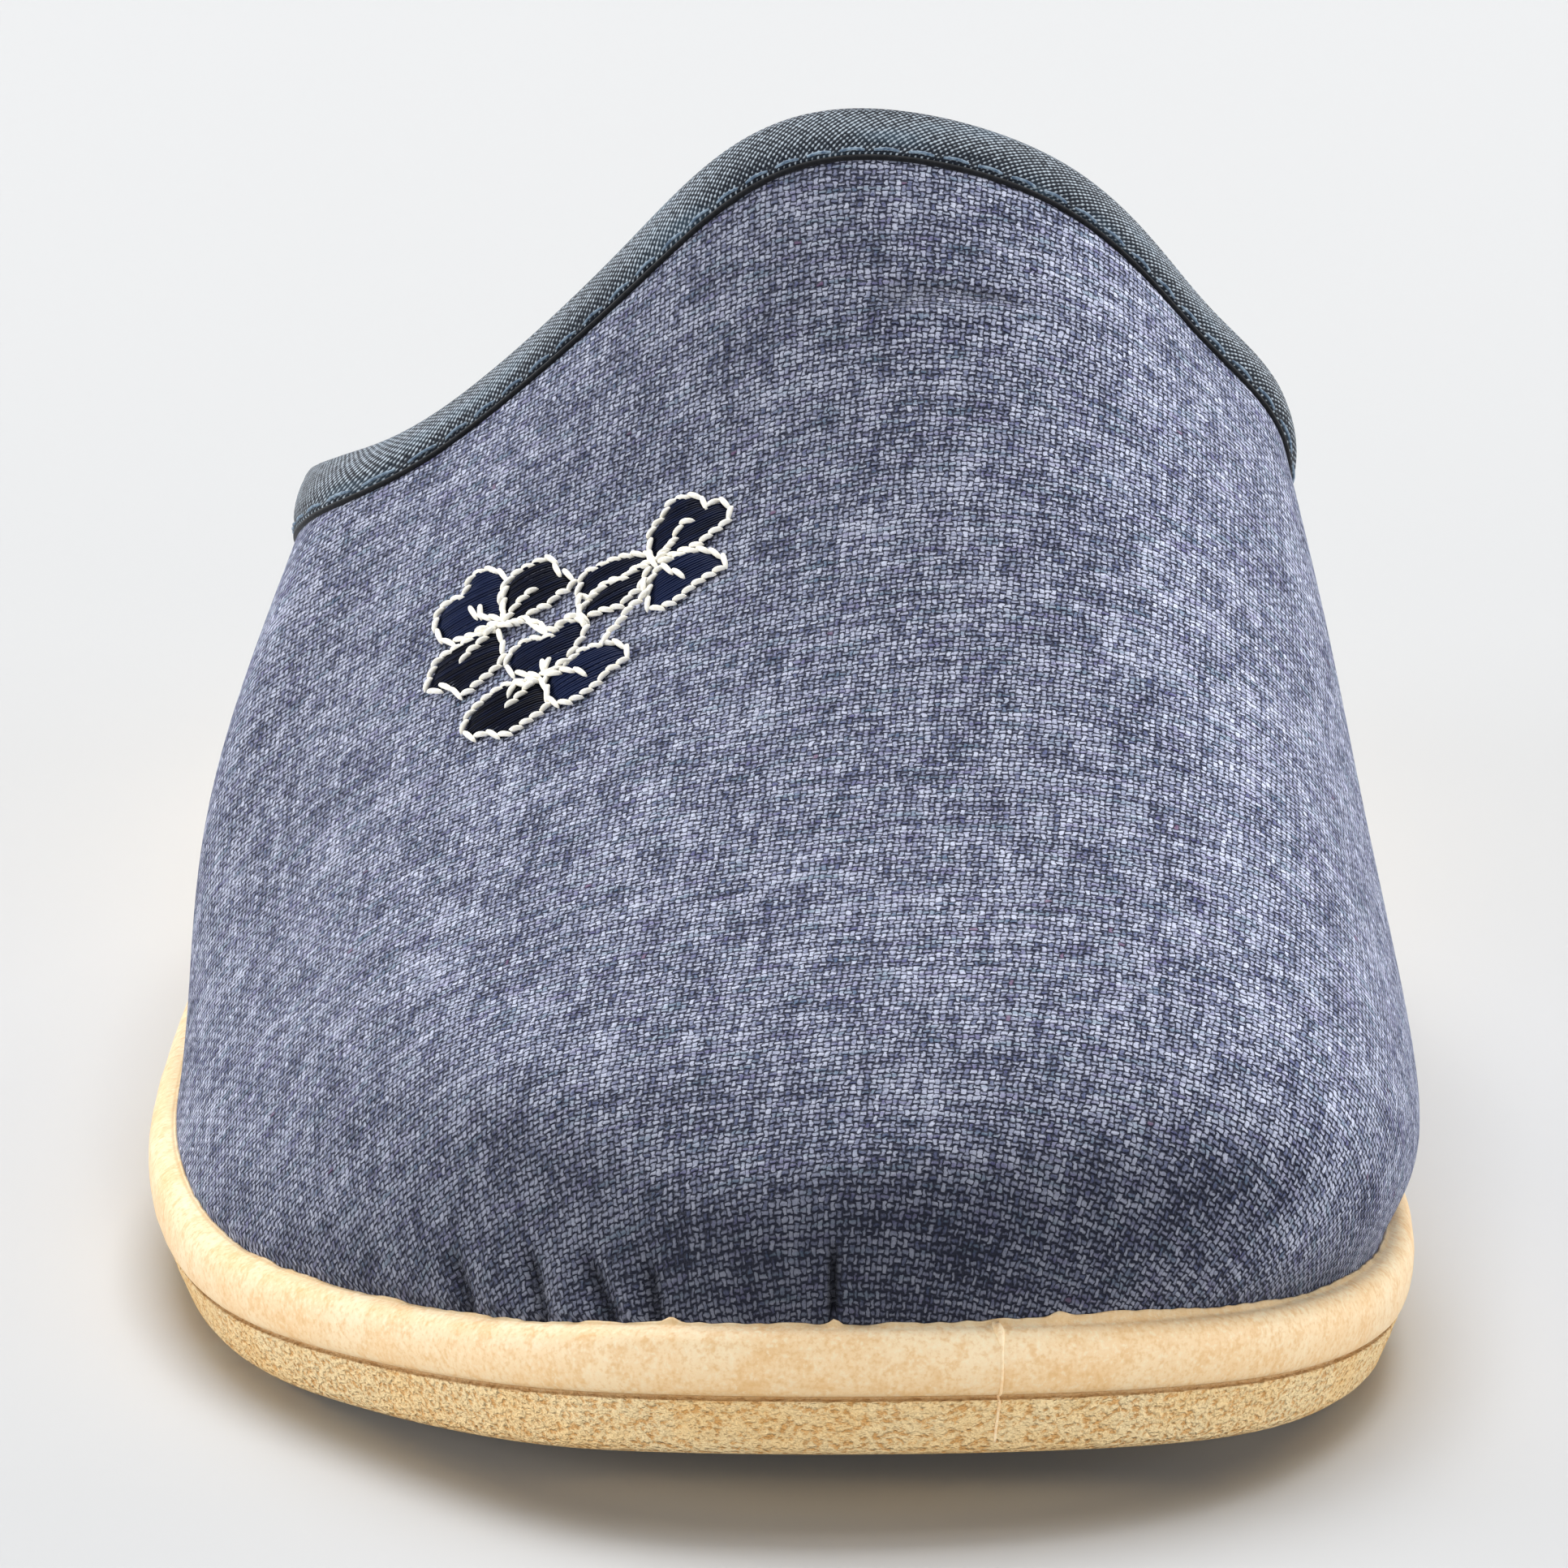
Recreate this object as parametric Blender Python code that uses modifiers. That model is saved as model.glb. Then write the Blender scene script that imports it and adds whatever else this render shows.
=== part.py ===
"""Mule slipper for the right foot: moulded sole, cloth upper, bound collar and insole.

Toe at -Y, heel at +Y, inner (big toe) side at +X, floor at z = 0.
Tables are in millimetres, measured back from the toe tip of the sole.
"""
import math

import bpy
import numpy as np

MM = 0.001
GAP = 0.3                # clearance between neighbouring pieces

# Sole
SOLE_LENGTH = 250.0      # at the groove
TOE_X = 3.5              # sideways place of the toe tip
HEEL_X = -2.0            # sideways place of the heel tip
TOE_SPRING = 6.0         # lift of the sole's edge at the toe
SPRING_REACH = 60.0      # where the lift ends
HEEL_LIFT = 1.2          # lift of the edge at the very back
HEEL_LIFT_FROM = 236.0
ARCH_RISE = 2.0          # hollow under the waist
ARCH_FROM = 116.0
ARCH_TO = 184.0
FOXING_HEIGHT = 6.0      # smooth band above the groove
RIM_DEPTH = 3.0          # how deep the upper stands in the sole
FEATHER_INSET = 1.0      # from the groove in to the upper's face
SOLE_STATIONS = 40
FINE_STATIONS = 400      # for reading the outline closely

SOLE_OUTLINE = [         # back, outer_x, inner_x
    (4.0, -13.8, 22.5),
    (12.0, -23.0, 34.4),
    (25.0, -32.5, 42.6),
    (40.0, -41.0, 46.9),
    (60.0, -46.8, 47.9),
    (85.0, -48.6, 45.4),
    (110.0, -47.0, 41.2),
    (140.0, -43.4, 36.4),
    (170.0, -39.2, 34.0),
    (200.0, -36.2, 33.2),
    (225.0, -32.0, 29.6),
    (240.0, -24.6, 21.6),
]
SIDE_HEIGHT = [          # back, height of the sole's side
    (0.0, 11.0),
    (60.0, 11.0),
    (100.0, 11.3),
    (140.0, 14.0),
    (175.0, 18.0),
    (210.0, 21.0),
    (250.0, 22.5),
]
SIDE_PROFILE = [         # measured from, up, stand-out from the groove's line
    ("bottom", 0.0, -3.0),
    ("bottom", 0.3, -1.7),
    ("bottom", 1.2, -0.7),
    ("groove", -0.7, 0.2),
    ("groove", -0.35, -0.9),
    ("groove", 0.1, -0.9),
    ("groove", 0.4, 0.5),
    ("groove", 1.8, 1.1),
    ("groove", 3.5, 1.2),
    ("groove", 4.9, 0.7),
    ("groove", 5.8, -0.1),
]

# Upper
WALL = 2.4
SECTION_LINES = [        # name, place across from 0 outer to 1 inner, columns of faces before it
    ("outer_feather", 0.0, 0),
    ("outer_wall", 0.052, 4),
    ("outer_shoulder", 0.14, 7),
    ("hollow", 0.25, 7),
    ("slope", 0.37, 5),
    ("crest", 0.56, 6),
    ("inner_slope", 0.635, 3),
    ("inner_shoulder", 0.725, 4),
    ("inner_wall", 0.87, 6),
    ("inner_feather", 1.0, 8),
]
LAST_SECTIONS = [        # back, then x and z of the eight lines between the feathers
    (4.5, -9, 19.5, -6, 23, -3, 25, 1, 26.4, 8, 27.4, 12, 27, 17, 25, 20.5, 21),
    (10, -18.3, 18, -13.5, 23, -9.3, 25.9, -2.5, 28.3, 11, 30.2, 17.5, 29.9, 26.5, 27.8, 32, 21),
    (20, -27.5, 17, -21, 25.7, -15.5, 29.2, -6, 31.9, 14, 34.2, 23, 33.7, 34, 30.3, 41, 22),
    (40, -38.2, 15.5, -30.5, 25.9, -22.5, 31.3, -10, 35.8, 17, 39.4, 27.5, 38.4, 40, 33.4, 47.9, 20.5),
    (70, -45.2, 15.5, -37.5, 25.6, -28, 33.9, -12, 42, 17, 47.6, 27, 46.2, 40, 39.9, 49.5, 18.5),
    (100, -46.9, 19, -39.6, 29.4, -27.5, 40.7, -12, 49.2, 14, 58.3, 24.5, 56, 35.8, 49, 46, 29.5),
    (120, -47.5, 26, -38.4, 36, -26.5, 47.2, -12, 56.8, 11, 65.9, 22.2, 64, 34.6, 55.2, 43.8, 36),
    (141.5, -42.6, 34, -33.6, 46.6, -26, 52, -12.4, 65, 7.9, 76.7, 23.8, 72.4, 31.9, 60.2, 39.9, 48.5),
    (170, -37.6, 36, -32, 53, -24, 57.5, -11, 72.5, 5, 86, 20, 80.5, 29.3, 67, 37.4, 53),
    (200, -34, 38, -29.5, 57, -22, 61, -10, 78, 3, 92, 18, 86, 27.5, 71, 34.5, 55),
]
TOPLINE = [              # place across the section, back
    (0.0, 189.0),
    (0.026, 182.5),
    (0.052, 172.5),
    (0.10, 152.5),
    (0.14, 145.0),
    (0.25, 141.6),
    (0.37, 141.5),
    (0.56, 141.5),
    (0.725, 141.5),
    (0.81, 142.5),
    (0.87, 146.5),
    (0.935, 166.0),
    (0.97, 181.0),
    (1.0, 189.0),
]
UPPER_ALONG = 30
ROW_CROWDING = 1.7       # rows of faces lie closer towards the toe
BULGE_FROM = 30.0        # the inner side stands out past the sole here
BULGE_TO = 112.0
BULGE_ABOVE = 0.72       # place across from which it does
TIP_WELD = 0.02          # the columns meet in one point at the toe tip
ALONG_GIVE = 0.05        # fairing of the last's lines, toe to collar
ACROSS_GIVE = 2e-5       # fairing of its sections, side to side

# Collar binding
BINDING_WIDTH = 5.2
BINDING_THICK = 0.9
BINDING_GAP = 0.35
BINDING_CLEAR = 0.6      # the tape's leaves stay this far above the sole
BINDING_SKIP = 1         # columns of the upper left bare above the sole at each end
LEAF_PARTS = (1.0, 0.5, 0.07)   # rows of a leaf, as parts of its width from the edge

# Insole
INSOLE_THICK = 4.5
INSOLE_GAP = 1.0
INSOLE_STATIONS = 30
INSOLE_ROUND = 0.8       # bevel of its upper edge
WING_END = 189.0         # the upper ends here, and the insole widens behind it
WIDEN_AFTER = 2.0
WIDEN_OVER = 10.0


def spline(knots, values, at, give=0.0):
    """Natural cubic spline at each place, within reach of the values (rows) at the knots.

    With no give it runs through every value, and with more it runs fairer past them.
    """
    x = np.asarray(knots, float)
    y = np.asarray(values, float)
    at = np.asarray(at, float)
    n = len(x)
    h = np.diff(x)
    slopes = np.zeros((n, n - 2))
    bend = np.zeros((n - 2, n - 2))
    for i in range(n - 2):
        slopes[i:i + 3, i] = 1 / h[i], -1 / h[i] - 1 / h[i + 1], 1 / h[i + 1]
        bend[i, i] = (h[i] + h[i + 1]) / 3
        if i:
            bend[i, i - 1] = bend[i - 1, i] = h[i] / 6
    loose = np.broadcast_to(give, (n,))[:, None] * slopes
    inner = np.linalg.solve(bend + slopes.T @ loose, slopes.T @ y)
    y = y - loose @ inner
    m = np.zeros_like(y)
    m[1:-1] = inner
    k = np.clip(np.searchsorted(x, at) - 1, 0, n - 2)
    hk = h[k]
    left = x[k + 1] - at
    right = at - x[k]
    if y.ndim > 1:
        hk, left, right = hk[:, None], left[:, None], right[:, None]
    return ((m[k] * left ** 3 + m[k + 1] * right ** 3) / (6 * hk)
            + (y[k] / hk - m[k] * hk / 6) * left
            + (y[k + 1] / hk - m[k + 1] * hk / 6) * right)


def turn(back):
    """Angle that spaces stations closely at toe and heel."""
    return np.arccos(np.clip(1 - 2 * np.asarray(back, float) / SOLE_LENGTH, -1, 1))


def outline(stations, outward):
    """Closed ring of (x, back) round the sole, moved outward from the groove."""
    rows = [(0.0, TOE_X, TOE_X)] + SOLE_OUTLINE + [(SOLE_LENGTH, HEEL_X, HEEL_X)]
    table = np.array(rows)
    knots = turn(table[:, 0])
    angle = np.linspace(0, math.pi, stations + 1)
    back = SOLE_LENGTH * (1 - np.cos(angle)) / 2
    outer = spline(knots, table[:, 1], angle)
    inner = spline(knots, table[:, 2], angle)
    ring = np.concatenate([np.c_[outer, back], np.c_[inner, back][-2:0:-1]])
    along = np.roll(ring, -1, axis=0) - np.roll(ring, 1, axis=0)
    normal = np.c_[-along[:, 1], along[:, 0]]
    normal /= np.linalg.norm(normal, axis=1)[:, None]
    return ring + normal * np.broadcast_to(outward, (len(ring),))[:, None]


def bottom(back):
    """Height of the sole's lower edge."""
    back = np.asarray(back, float)
    toe = TOE_SPRING * np.clip(1 - back / SPRING_REACH, 0, None) ** 2
    heel_run = (back - HEEL_LIFT_FROM) / (SOLE_LENGTH - HEEL_LIFT_FROM)
    heel = HEEL_LIFT * np.clip(heel_run, 0, None) ** 2
    waist = np.clip((back - ARCH_FROM) / (ARCH_TO - ARCH_FROM), 0, 1)
    return toe + heel + ARCH_RISE * np.sin(math.pi * waist) ** 2


def feather_height(back):
    """Top of the sole's rim, where the upper leaves it."""
    table = np.array(SIDE_HEIGHT)
    back = np.asarray(back, float)
    level = spline(table[:, 0], table[:, 1], np.clip(back, 0, SOLE_LENGTH))
    toe = TOE_SPRING * np.clip(1 - back / SPRING_REACH, 0, None) ** 2
    return level + toe


def feather_x(back):
    """Outer and inner x of the upper's foot at each distance back."""
    ring = outline(FINE_STATIONS, -FEATHER_INSET)
    tip = int(np.argmin(ring[:, 1]))
    ring = np.roll(ring, -tip, axis=0)
    tail = int(np.argmax(ring[:, 1]))
    first = ring[:tail + 1]
    second = np.concatenate([ring[tail:], ring[:1]])[::-1]
    outer, inner = (first, second) if first[20, 0] < second[20, 0] else (second, first)
    start = ring[0, 1]
    reach = np.sqrt(np.clip(np.asarray(back, float) - start, 0, None))
    places = [np.interp(reach, np.sqrt(side[:, 1] - start), side[:, 0]) for side in (outer, inner)]
    return places[0], places[1], ring[0]


def last_lines(back):
    """Named lines of the last at each distance back: (rows, lines, x and z)."""
    back = np.asarray(back, float)
    outer, inner, tip = feather_x(back)
    tip_z = float(feather_height(tip[1]))
    table = np.array([(tip[1],) + (tip[0], tip_z) * 8] + LAST_SECTIONS)
    reach = np.sqrt(np.clip(back - tip[1], 0, None))
    give = np.full(len(table), ALONG_GIVE)
    give[0] = 0.0
    body = spline(np.sqrt(table[:, 0] - tip[1]), table[:, 1:], reach, give).reshape(len(back), 8, 2)
    feather = feather_height(back)
    first = np.c_[outer, feather][:, None]
    final = np.c_[inner, feather][:, None]
    return np.concatenate([first, body, final], axis=1)


def upper_points(place, back):
    """Outer face of the upper at places across and distances back, as (x, back, z)."""
    place = np.asarray(place, float)
    back = np.asarray(back, float)
    knots = [line[1] for line in SECTION_LINES]
    give = np.full(len(knots), ACROSS_GIVE)
    give[[0, -1]] = 0.0
    lines = last_lines(back)
    points = np.empty((len(back), 3))
    for i in range(len(back)):
        x, z = spline(knots, lines[i], place[i:i + 1], give)[0]
        points[i] = x, back[i], z
    return points


def upper_normals(place, back):
    """Outward unit normals of the upper's outer face."""
    step = 1e-3
    low = np.clip(place - step, 0, 1)
    high = np.clip(place + step, 0, 1)
    across = upper_points(high, back) - upper_points(low, back)
    tip = feather_x(back)[2][1]
    ahead = np.maximum(back - 0.05, tip + 0.01)
    along = upper_points(place, back + 0.05) - upper_points(place, ahead)
    normal = np.cross(across, along)
    return normal / np.linalg.norm(normal, axis=1)[:, None]


def upper_columns():
    """Places of the upper's columns of faces, closer where the section turns."""
    places = [0.0]
    for (_, start, _), (_, end, columns) in zip(SECTION_LINES, SECTION_LINES[1:]):
        places += [start + (end - start) * (i + 1) / columns for i in range(columns)]
    return np.array(places)


def topline(place):
    """How far back the upper's edge lies at each place across."""
    table = np.array(TOPLINE)
    return spline(table[:, 0], table[:, 1], place)


def make_object(name, points, faces, colour, roughness, collection):
    """Mesh object from millimetre points (x, back, z) in the part's frame."""
    points = np.asarray(points, float) - np.array([CENTRE_X, CENTRE_BACK, 0.0])
    mesh = bpy.data.meshes.new(name)
    mesh.from_pydata([tuple(p) for p in points * MM], [], faces)
    mesh.update()
    material = bpy.data.materials.new(name)
    material.use_nodes = True
    shader = material.node_tree.nodes["Principled BSDF"]
    shader.inputs["Base Color"].default_value = (*colour, 1.0)
    shader.inputs["Roughness"].default_value = roughness
    mesh.materials.append(material)
    made = bpy.data.objects.new(name, mesh)
    collection.objects.link(made)
    return made


def bridge(ring_a, ring_b):
    """Quads between two closed rings of vertex numbers."""
    count = len(ring_a)
    return [(ring_a[i], ring_a[(i + 1) % count], ring_b[(i + 1) % count], ring_b[i])
            for i in range(count)]


def strips(ring, flip):
    """Faces across a ring whose two sides share their stations."""
    count = len(ring)
    half = count // 2
    faces = [(ring[0], ring[1], ring[count - 1])]
    faces += [(ring[i], ring[i + 1], ring[count - i - 1], ring[count - i]) for i in range(1, half - 1)]
    faces.append((ring[half - 1], ring[half], ring[half + 1]))
    return [face[::-1] for face in faces] if flip else faces


def ring_solid(rings):
    """Points and faces of a solid lofted from its bottom ring to its top ring."""
    count = len(rings[0])
    points = np.concatenate(rings)
    names = [list(range(k * count, (k + 1) * count)) for k in range(len(rings))]
    faces = []
    for low, high in zip(names, names[1:]):
        faces += bridge(high, low)
    return points, faces + strips(names[0], False) + strips(names[-1], True)


def build_sole(collection):
    """Outsole and foxing moulded in one, with a tray for the upper and insole."""
    rings = []
    for base, up, stand in SIDE_PROFILE:
        ring = outline(SOLE_STATIONS, stand)
        level = bottom(ring[:, 1])
        if base == "groove":
            level = feather_height(ring[:, 1]) - FOXING_HEIGHT
        rings.append(np.c_[ring, level + up])
    for drop in (0.0, RIM_DEPTH + GAP):
        ring = outline(SOLE_STATIONS, -FEATHER_INSET + GAP)
        rings.append(np.c_[ring, feather_height(ring[:, 1]) - drop])
    points, faces = ring_solid(rings)
    return make_object("sole", points, faces, (0.80, 0.60, 0.34), 0.6, collection)


def build_upper(collection):
    """Cloth upper: an open surface over the last, thickened inward."""
    places = upper_columns()
    tip = feather_x([0.0])[2][1]
    ends = topline(places)
    steps = np.linspace(0, 1, UPPER_ALONG + 1)
    columns = []
    for place, end in zip(places, ends):
        back = tip + (end - tip) * steps ** ROW_CROWDING
        columns.append(upper_points(np.full(len(back), place), back))
    foot = np.array([0.0, 0.0, RIM_DEPTH])
    columns = [columns[0] - foot] + columns + [columns[-1] - foot]
    across = len(columns)
    points = np.array(columns).transpose(1, 0, 2).reshape(-1, 3)
    faces = []
    for row in range(UPPER_ALONG):
        for col in range(across - 1):
            a = row * across + col
            faces.append((a, a + 1, a + across + 1, a + across))
    made = make_object("upper", points, faces, (0.20, 0.22, 0.31), 0.9, collection)
    weld = made.modifiers.new("join_tip", "WELD")
    weld.merge_threshold = TIP_WELD * MM
    shell = made.modifiers.new("wall", "SOLIDIFY")
    shell.thickness = WALL * MM
    shell.offset = -1.0
    shell.use_even_offset = True
    return made


def face_step(place, back, direction, distance):
    """Places and backs moved over the outer face by a distance along a direction."""
    small = 1e-3
    per_place = (upper_points(place + small, back) - upper_points(place - small, back)) / (2 * small)
    per_back = upper_points(place, back + 0.5) - upper_points(place, back - 0.5)
    moved = np.empty((len(place), 2))
    for i in range(len(place)):
        slopes = np.c_[per_place[i], per_back[i]]
        moved[i] = np.linalg.lstsq(slopes, direction[i] * distance[i], rcond=None)[0]
    return place + moved[:, 0], back + moved[:, 1]


def build_binding(collection):
    """Folded tape over the collar's edge, one leaf outside and one inside."""
    places = upper_columns()[BINDING_SKIP:-BINDING_SKIP]
    ends = topline(places)
    edge = upper_points(places, ends)
    normal = upper_normals(places, ends)
    tangent = np.gradient(edge, axis=0)
    tangent /= np.linalg.norm(tangent, axis=1)[:, None]
    away = np.cross(tangent, normal)
    over = BINDING_GAP + BINDING_THICK
    outer_leaf, inner_leaf, outer_lining, inner_lining = [], [], [], []
    clear = edge[:, 2] - feather_height(ends) - BINDING_CLEAR
    width = np.minimum(BINDING_WIDTH, clear / np.maximum(-away[:, 2], 0.3))
    for part in LEAF_PARTS:
        place, back = face_step(places, ends, away, part * width)
        face = upper_points(place, back)
        out = upper_normals(place, back)
        outer_leaf.append(face + out * over)
        outer_lining.append(face + out * BINDING_GAP)
        inner_leaf.append(face - out * (WALL + over))
        inner_lining.append(face - out * (WALL + BINDING_GAP))
    roll = [(0.5 * over, 0.75), (-0.5 * WALL, 1.0), (-WALL - 0.5 * over, 0.75)]
    fold = [edge + normal * side - away * (BINDING_GAP + BINDING_THICK * part) for side, part in roll]
    crease = [edge + normal * side - away * BINDING_GAP
              for side in (-WALL - BINDING_GAP, -0.5 * WALL, BINDING_GAP)]
    profile = outer_leaf + fold + inner_leaf[::-1] + inner_lining + crease + outer_lining[::-1]
    count = len(profile)
    points = np.array(profile).transpose(1, 0, 2).reshape(-1, 3)
    faces = []
    for i in range(len(places) - 1):
        near = list(range(i * count, (i + 1) * count))
        faces += bridge([n + count for n in near], near)
    last = (len(places) - 1) * count
    faces.append(tuple(range(count)))
    faces.append(tuple(range(last, last + count))[::-1])
    return make_object("collar_binding", points, faces, (0.08, 0.10, 0.13), 0.9, collection)


def build_insole(collection):
    """Flat footbed that lies in the sole's tray inside the upper."""
    plain = outline(INSOLE_STATIONS, 0.0)
    widen = np.clip((plain[:, 1] - WING_END - WIDEN_AFTER) / WIDEN_OVER, 0, 1)
    widen = widen * widen * (3 - 2 * widen)
    inset = -FEATHER_INSET - (1 - widen) * (WALL + INSOLE_GAP)
    ring = outline(INSOLE_STATIONS, inset)
    floor = feather_height(ring[:, 1]) - RIM_DEPTH
    small = outline(INSOLE_STATIONS, inset - INSOLE_ROUND)
    rings = [np.c_[ring, floor]]
    rings.append(np.c_[ring, floor + INSOLE_THICK - INSOLE_ROUND])
    rings.append(np.c_[small, floor + INSOLE_THICK])
    points, faces = ring_solid(rings)
    return make_object("insole", points, faces, (0.45, 0.42, 0.38), 0.95, collection)


def frame_centre():
    """Middle of the part's plan, for an origin under it."""
    ring = outline(SOLE_STATIONS, max(row[2] for row in SIDE_PROFILE))
    back = np.arange(BULGE_FROM, BULGE_TO, 2.0)
    inner_side = [place for place in upper_columns() if place > BULGE_ABOVE]
    bulge = [upper_points(np.full(len(back), place), back) for place in inner_side]
    wide = np.concatenate([ring] + [points[:, :2] for points in bulge])
    middle = (wide.min(axis=0) + wide.max(axis=0)) / 2
    return float(middle[0]), float(middle[1])


CENTRE_X, CENTRE_BACK = frame_centre()


def build():
    """Clears the scene and makes the four pieces."""
    for old in list(bpy.data.objects):
        bpy.data.objects.remove(old, do_unlink=True)
    collection = bpy.data.collections.new("mule_slipper")
    bpy.context.scene.collection.children.link(collection)
    build_sole(collection)
    build_upper(collection)
    build_binding(collection)
    build_insole(collection)


build()
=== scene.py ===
"""Looks of the mule slipper: woven upper, lining, bound collar, embroidery, insole and crepe sole.

Sizes are in millimetres, measured back from the toe tip of the sole, as in the part's own design.
x runs to the inner (big toe) side, z up from the floor. Points become metres as they reach a mesh.
"""
import math

import bpy
import numpy as np
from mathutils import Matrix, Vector, noise


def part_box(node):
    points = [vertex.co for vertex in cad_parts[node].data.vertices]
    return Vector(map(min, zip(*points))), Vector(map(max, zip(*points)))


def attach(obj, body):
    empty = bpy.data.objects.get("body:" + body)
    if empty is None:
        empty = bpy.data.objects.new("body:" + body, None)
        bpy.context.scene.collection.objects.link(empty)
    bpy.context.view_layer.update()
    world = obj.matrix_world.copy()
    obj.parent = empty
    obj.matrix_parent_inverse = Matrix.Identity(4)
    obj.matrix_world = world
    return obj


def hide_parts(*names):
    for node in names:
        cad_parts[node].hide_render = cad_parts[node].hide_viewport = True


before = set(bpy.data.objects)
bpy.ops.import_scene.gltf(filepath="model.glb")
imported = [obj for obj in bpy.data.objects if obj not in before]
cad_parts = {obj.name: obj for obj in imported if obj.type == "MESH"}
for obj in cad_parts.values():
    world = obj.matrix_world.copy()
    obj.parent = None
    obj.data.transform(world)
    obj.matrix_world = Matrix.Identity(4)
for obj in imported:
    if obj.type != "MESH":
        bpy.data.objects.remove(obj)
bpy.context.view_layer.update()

MM = 0.001

# Form of the sole
SOLE_LENGTH = 250.0
TOE_X = 3.5
HEEL_X = -2.0
TOE_SPRING = 6.0
SPRING_REACH = 60.0
HEEL_LIFT = 1.2
HEEL_LIFT_FROM = 236.0
ARCH_RISE = 2.0
ARCH_FROM = 116.0
ARCH_TO = 184.0
FOXING_HEIGHT = 6.0
RIM_DEPTH = 3.0
FEATHER_INSET = 1.0
FULLEST = 1.2  # the foxing's stand-out, which sets the sole's box
FINE_STATIONS = 400
SIDE_STATION = 20  # where the ring's two sides are told apart by their x
SOLE_OUTLINE = [  # back, outer_x, inner_x
    (4.0, -13.8, 22.5), (12.0, -23.0, 34.4), (25.0, -32.5, 42.6), (40.0, -41.0, 46.9),
    (60.0, -46.8, 47.9), (85.0, -48.6, 45.4), (110.0, -47.0, 41.2), (140.0, -43.4, 36.4),
    (170.0, -39.2, 34.0), (200.0, -36.2, 33.2), (225.0, -32.0, 29.6), (240.0, -24.6, 21.6),
]
SIDE_HEIGHT = [  # back, height of the sole's side
    (0.0, 11.0), (60.0, 11.0), (100.0, 11.3), (140.0, 14.0), (175.0, 18.0), (210.0, 21.0),
    (250.0, 22.5),
]

# Form of the upper
WALL = 2.4
SECTION_LINES = [  # name, place across from 0 outer to 1 inner, columns of faces before it
    ("outer_feather", 0.0, 0),
    ("outer_wall", 0.052, 16),
    ("outer_shoulder", 0.14, 20),
    ("hollow", 0.25, 20),
    ("slope", 0.37, 20),
    ("crest", 0.56, 30),
    ("inner_slope", 0.635, 13),
    ("inner_shoulder", 0.725, 16),
    ("inner_wall", 0.87, 24),
    ("inner_feather", 1.0, 26),
]
LAST_SECTIONS = [  # back, then x and z of the eight lines between the feathers
    (4.5, -9, 19.5, -6, 23, -3, 25, 1, 26.4, 8, 27.4, 12, 27, 17, 25, 20.5, 21),
    (10, -18.3, 18, -13.5, 23, -9.3, 25.9, -2.5, 28.3, 11, 30.2, 17.5, 29.9, 26.5, 27.8, 32, 21),
    (20, -27.5, 17, -21, 25.7, -15.5, 29.2, -6, 31.9, 14, 34.2, 23, 33.7, 34, 30.3, 41, 22),
    (40, -38.2, 15.5, -30.5, 25.9, -22.5, 31.3, -10, 35.8, 17, 39.4, 27.5, 38.4, 40, 33.4, 47.9, 20.5),
    (70, -45.2, 15.5, -37.5, 25.6, -28, 33.9, -12, 42, 17, 47.6, 27, 46.2, 40, 39.9, 49.5, 18.5),
    (100, -46.9, 19, -39.6, 29.4, -27.5, 40.7, -12, 49.2, 14, 58.3, 24.5, 56, 35.8, 49, 46, 29.5),
    (120, -47.5, 26, -38.4, 36, -26.5, 47.2, -12, 56.8, 11, 65.9, 22.2, 64, 34.6, 55.2, 43.8, 36),
    (141.5, -42.6, 34, -33.6, 46.6, -26, 52, -12.4, 65, 7.9, 76.7, 23.8, 72.4, 31.9, 60.2, 39.9, 48.5),
    (170, -37.6, 36, -32, 53, -24, 57.5, -11, 72.5, 5, 86, 20, 80.5, 29.3, 67, 37.4, 53),
    (200, -34, 38, -29.5, 57, -22, 61, -10, 78, 3, 92, 18, 86, 27.5, 71, 34.5, 55),
]
ALONG_GIVE = 0.05
ACROSS_GIVE = 2e-5
TOPLINE = [  # place across the section, back
    (0.0, 189.0), (0.026, 182.5), (0.052, 172.5), (0.10, 152.5), (0.14, 145.0), (0.25, 141.6),
    (0.37, 141.5), (0.56, 141.5), (0.725, 141.5), (0.81, 142.5), (0.87, 146.5), (0.935, 166.0),
    (0.97, 181.0), (1.0, 189.0),
]
PLACE_STEP = 1e-3  # steps over which slopes of the face are measured
BACK_STEP = 0.05
TIP_CLEAR = 0.01  # nearest that a slope is measured to the toe tip, where the sections shrink to a point


def spline(knots, values, at, give=0.0):
    """Natural cubic spline at each place, running fairer past the values where it has give."""
    x = np.asarray(knots, float)
    y = np.asarray(values, float)
    at = np.asarray(at, float)
    n = len(x)
    h = np.diff(x)
    slopes = np.zeros((n, n - 2))
    bend = np.zeros((n - 2, n - 2))
    for i in range(n - 2):
        slopes[i:i + 3, i] = 1 / h[i], -1 / h[i] - 1 / h[i + 1], 1 / h[i + 1]
        bend[i, i] = (h[i] + h[i + 1]) / 3
        if i:
            bend[i, i - 1] = bend[i - 1, i] = h[i] / 6
    loose = np.broadcast_to(give, (n,))[:, None] * slopes
    inner = np.linalg.solve(bend + slopes.T @ loose, slopes.T @ y)
    y = y - loose @ inner
    m = np.zeros_like(y)
    m[1:-1] = inner
    k = np.clip(np.searchsorted(x, at) - 1, 0, n - 2)
    hk = h[k]
    left = x[k + 1] - at
    right = at - x[k]
    if y.ndim > 1:
        hk, left, right = hk[:, None], left[:, None], right[:, None]
    return ((m[k] * left ** 3 + m[k + 1] * right ** 3) / (6 * hk)
            + (y[k] / hk - m[k] * hk / 6) * left
            + (y[k + 1] / hk - m[k + 1] * hk / 6) * right)


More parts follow.
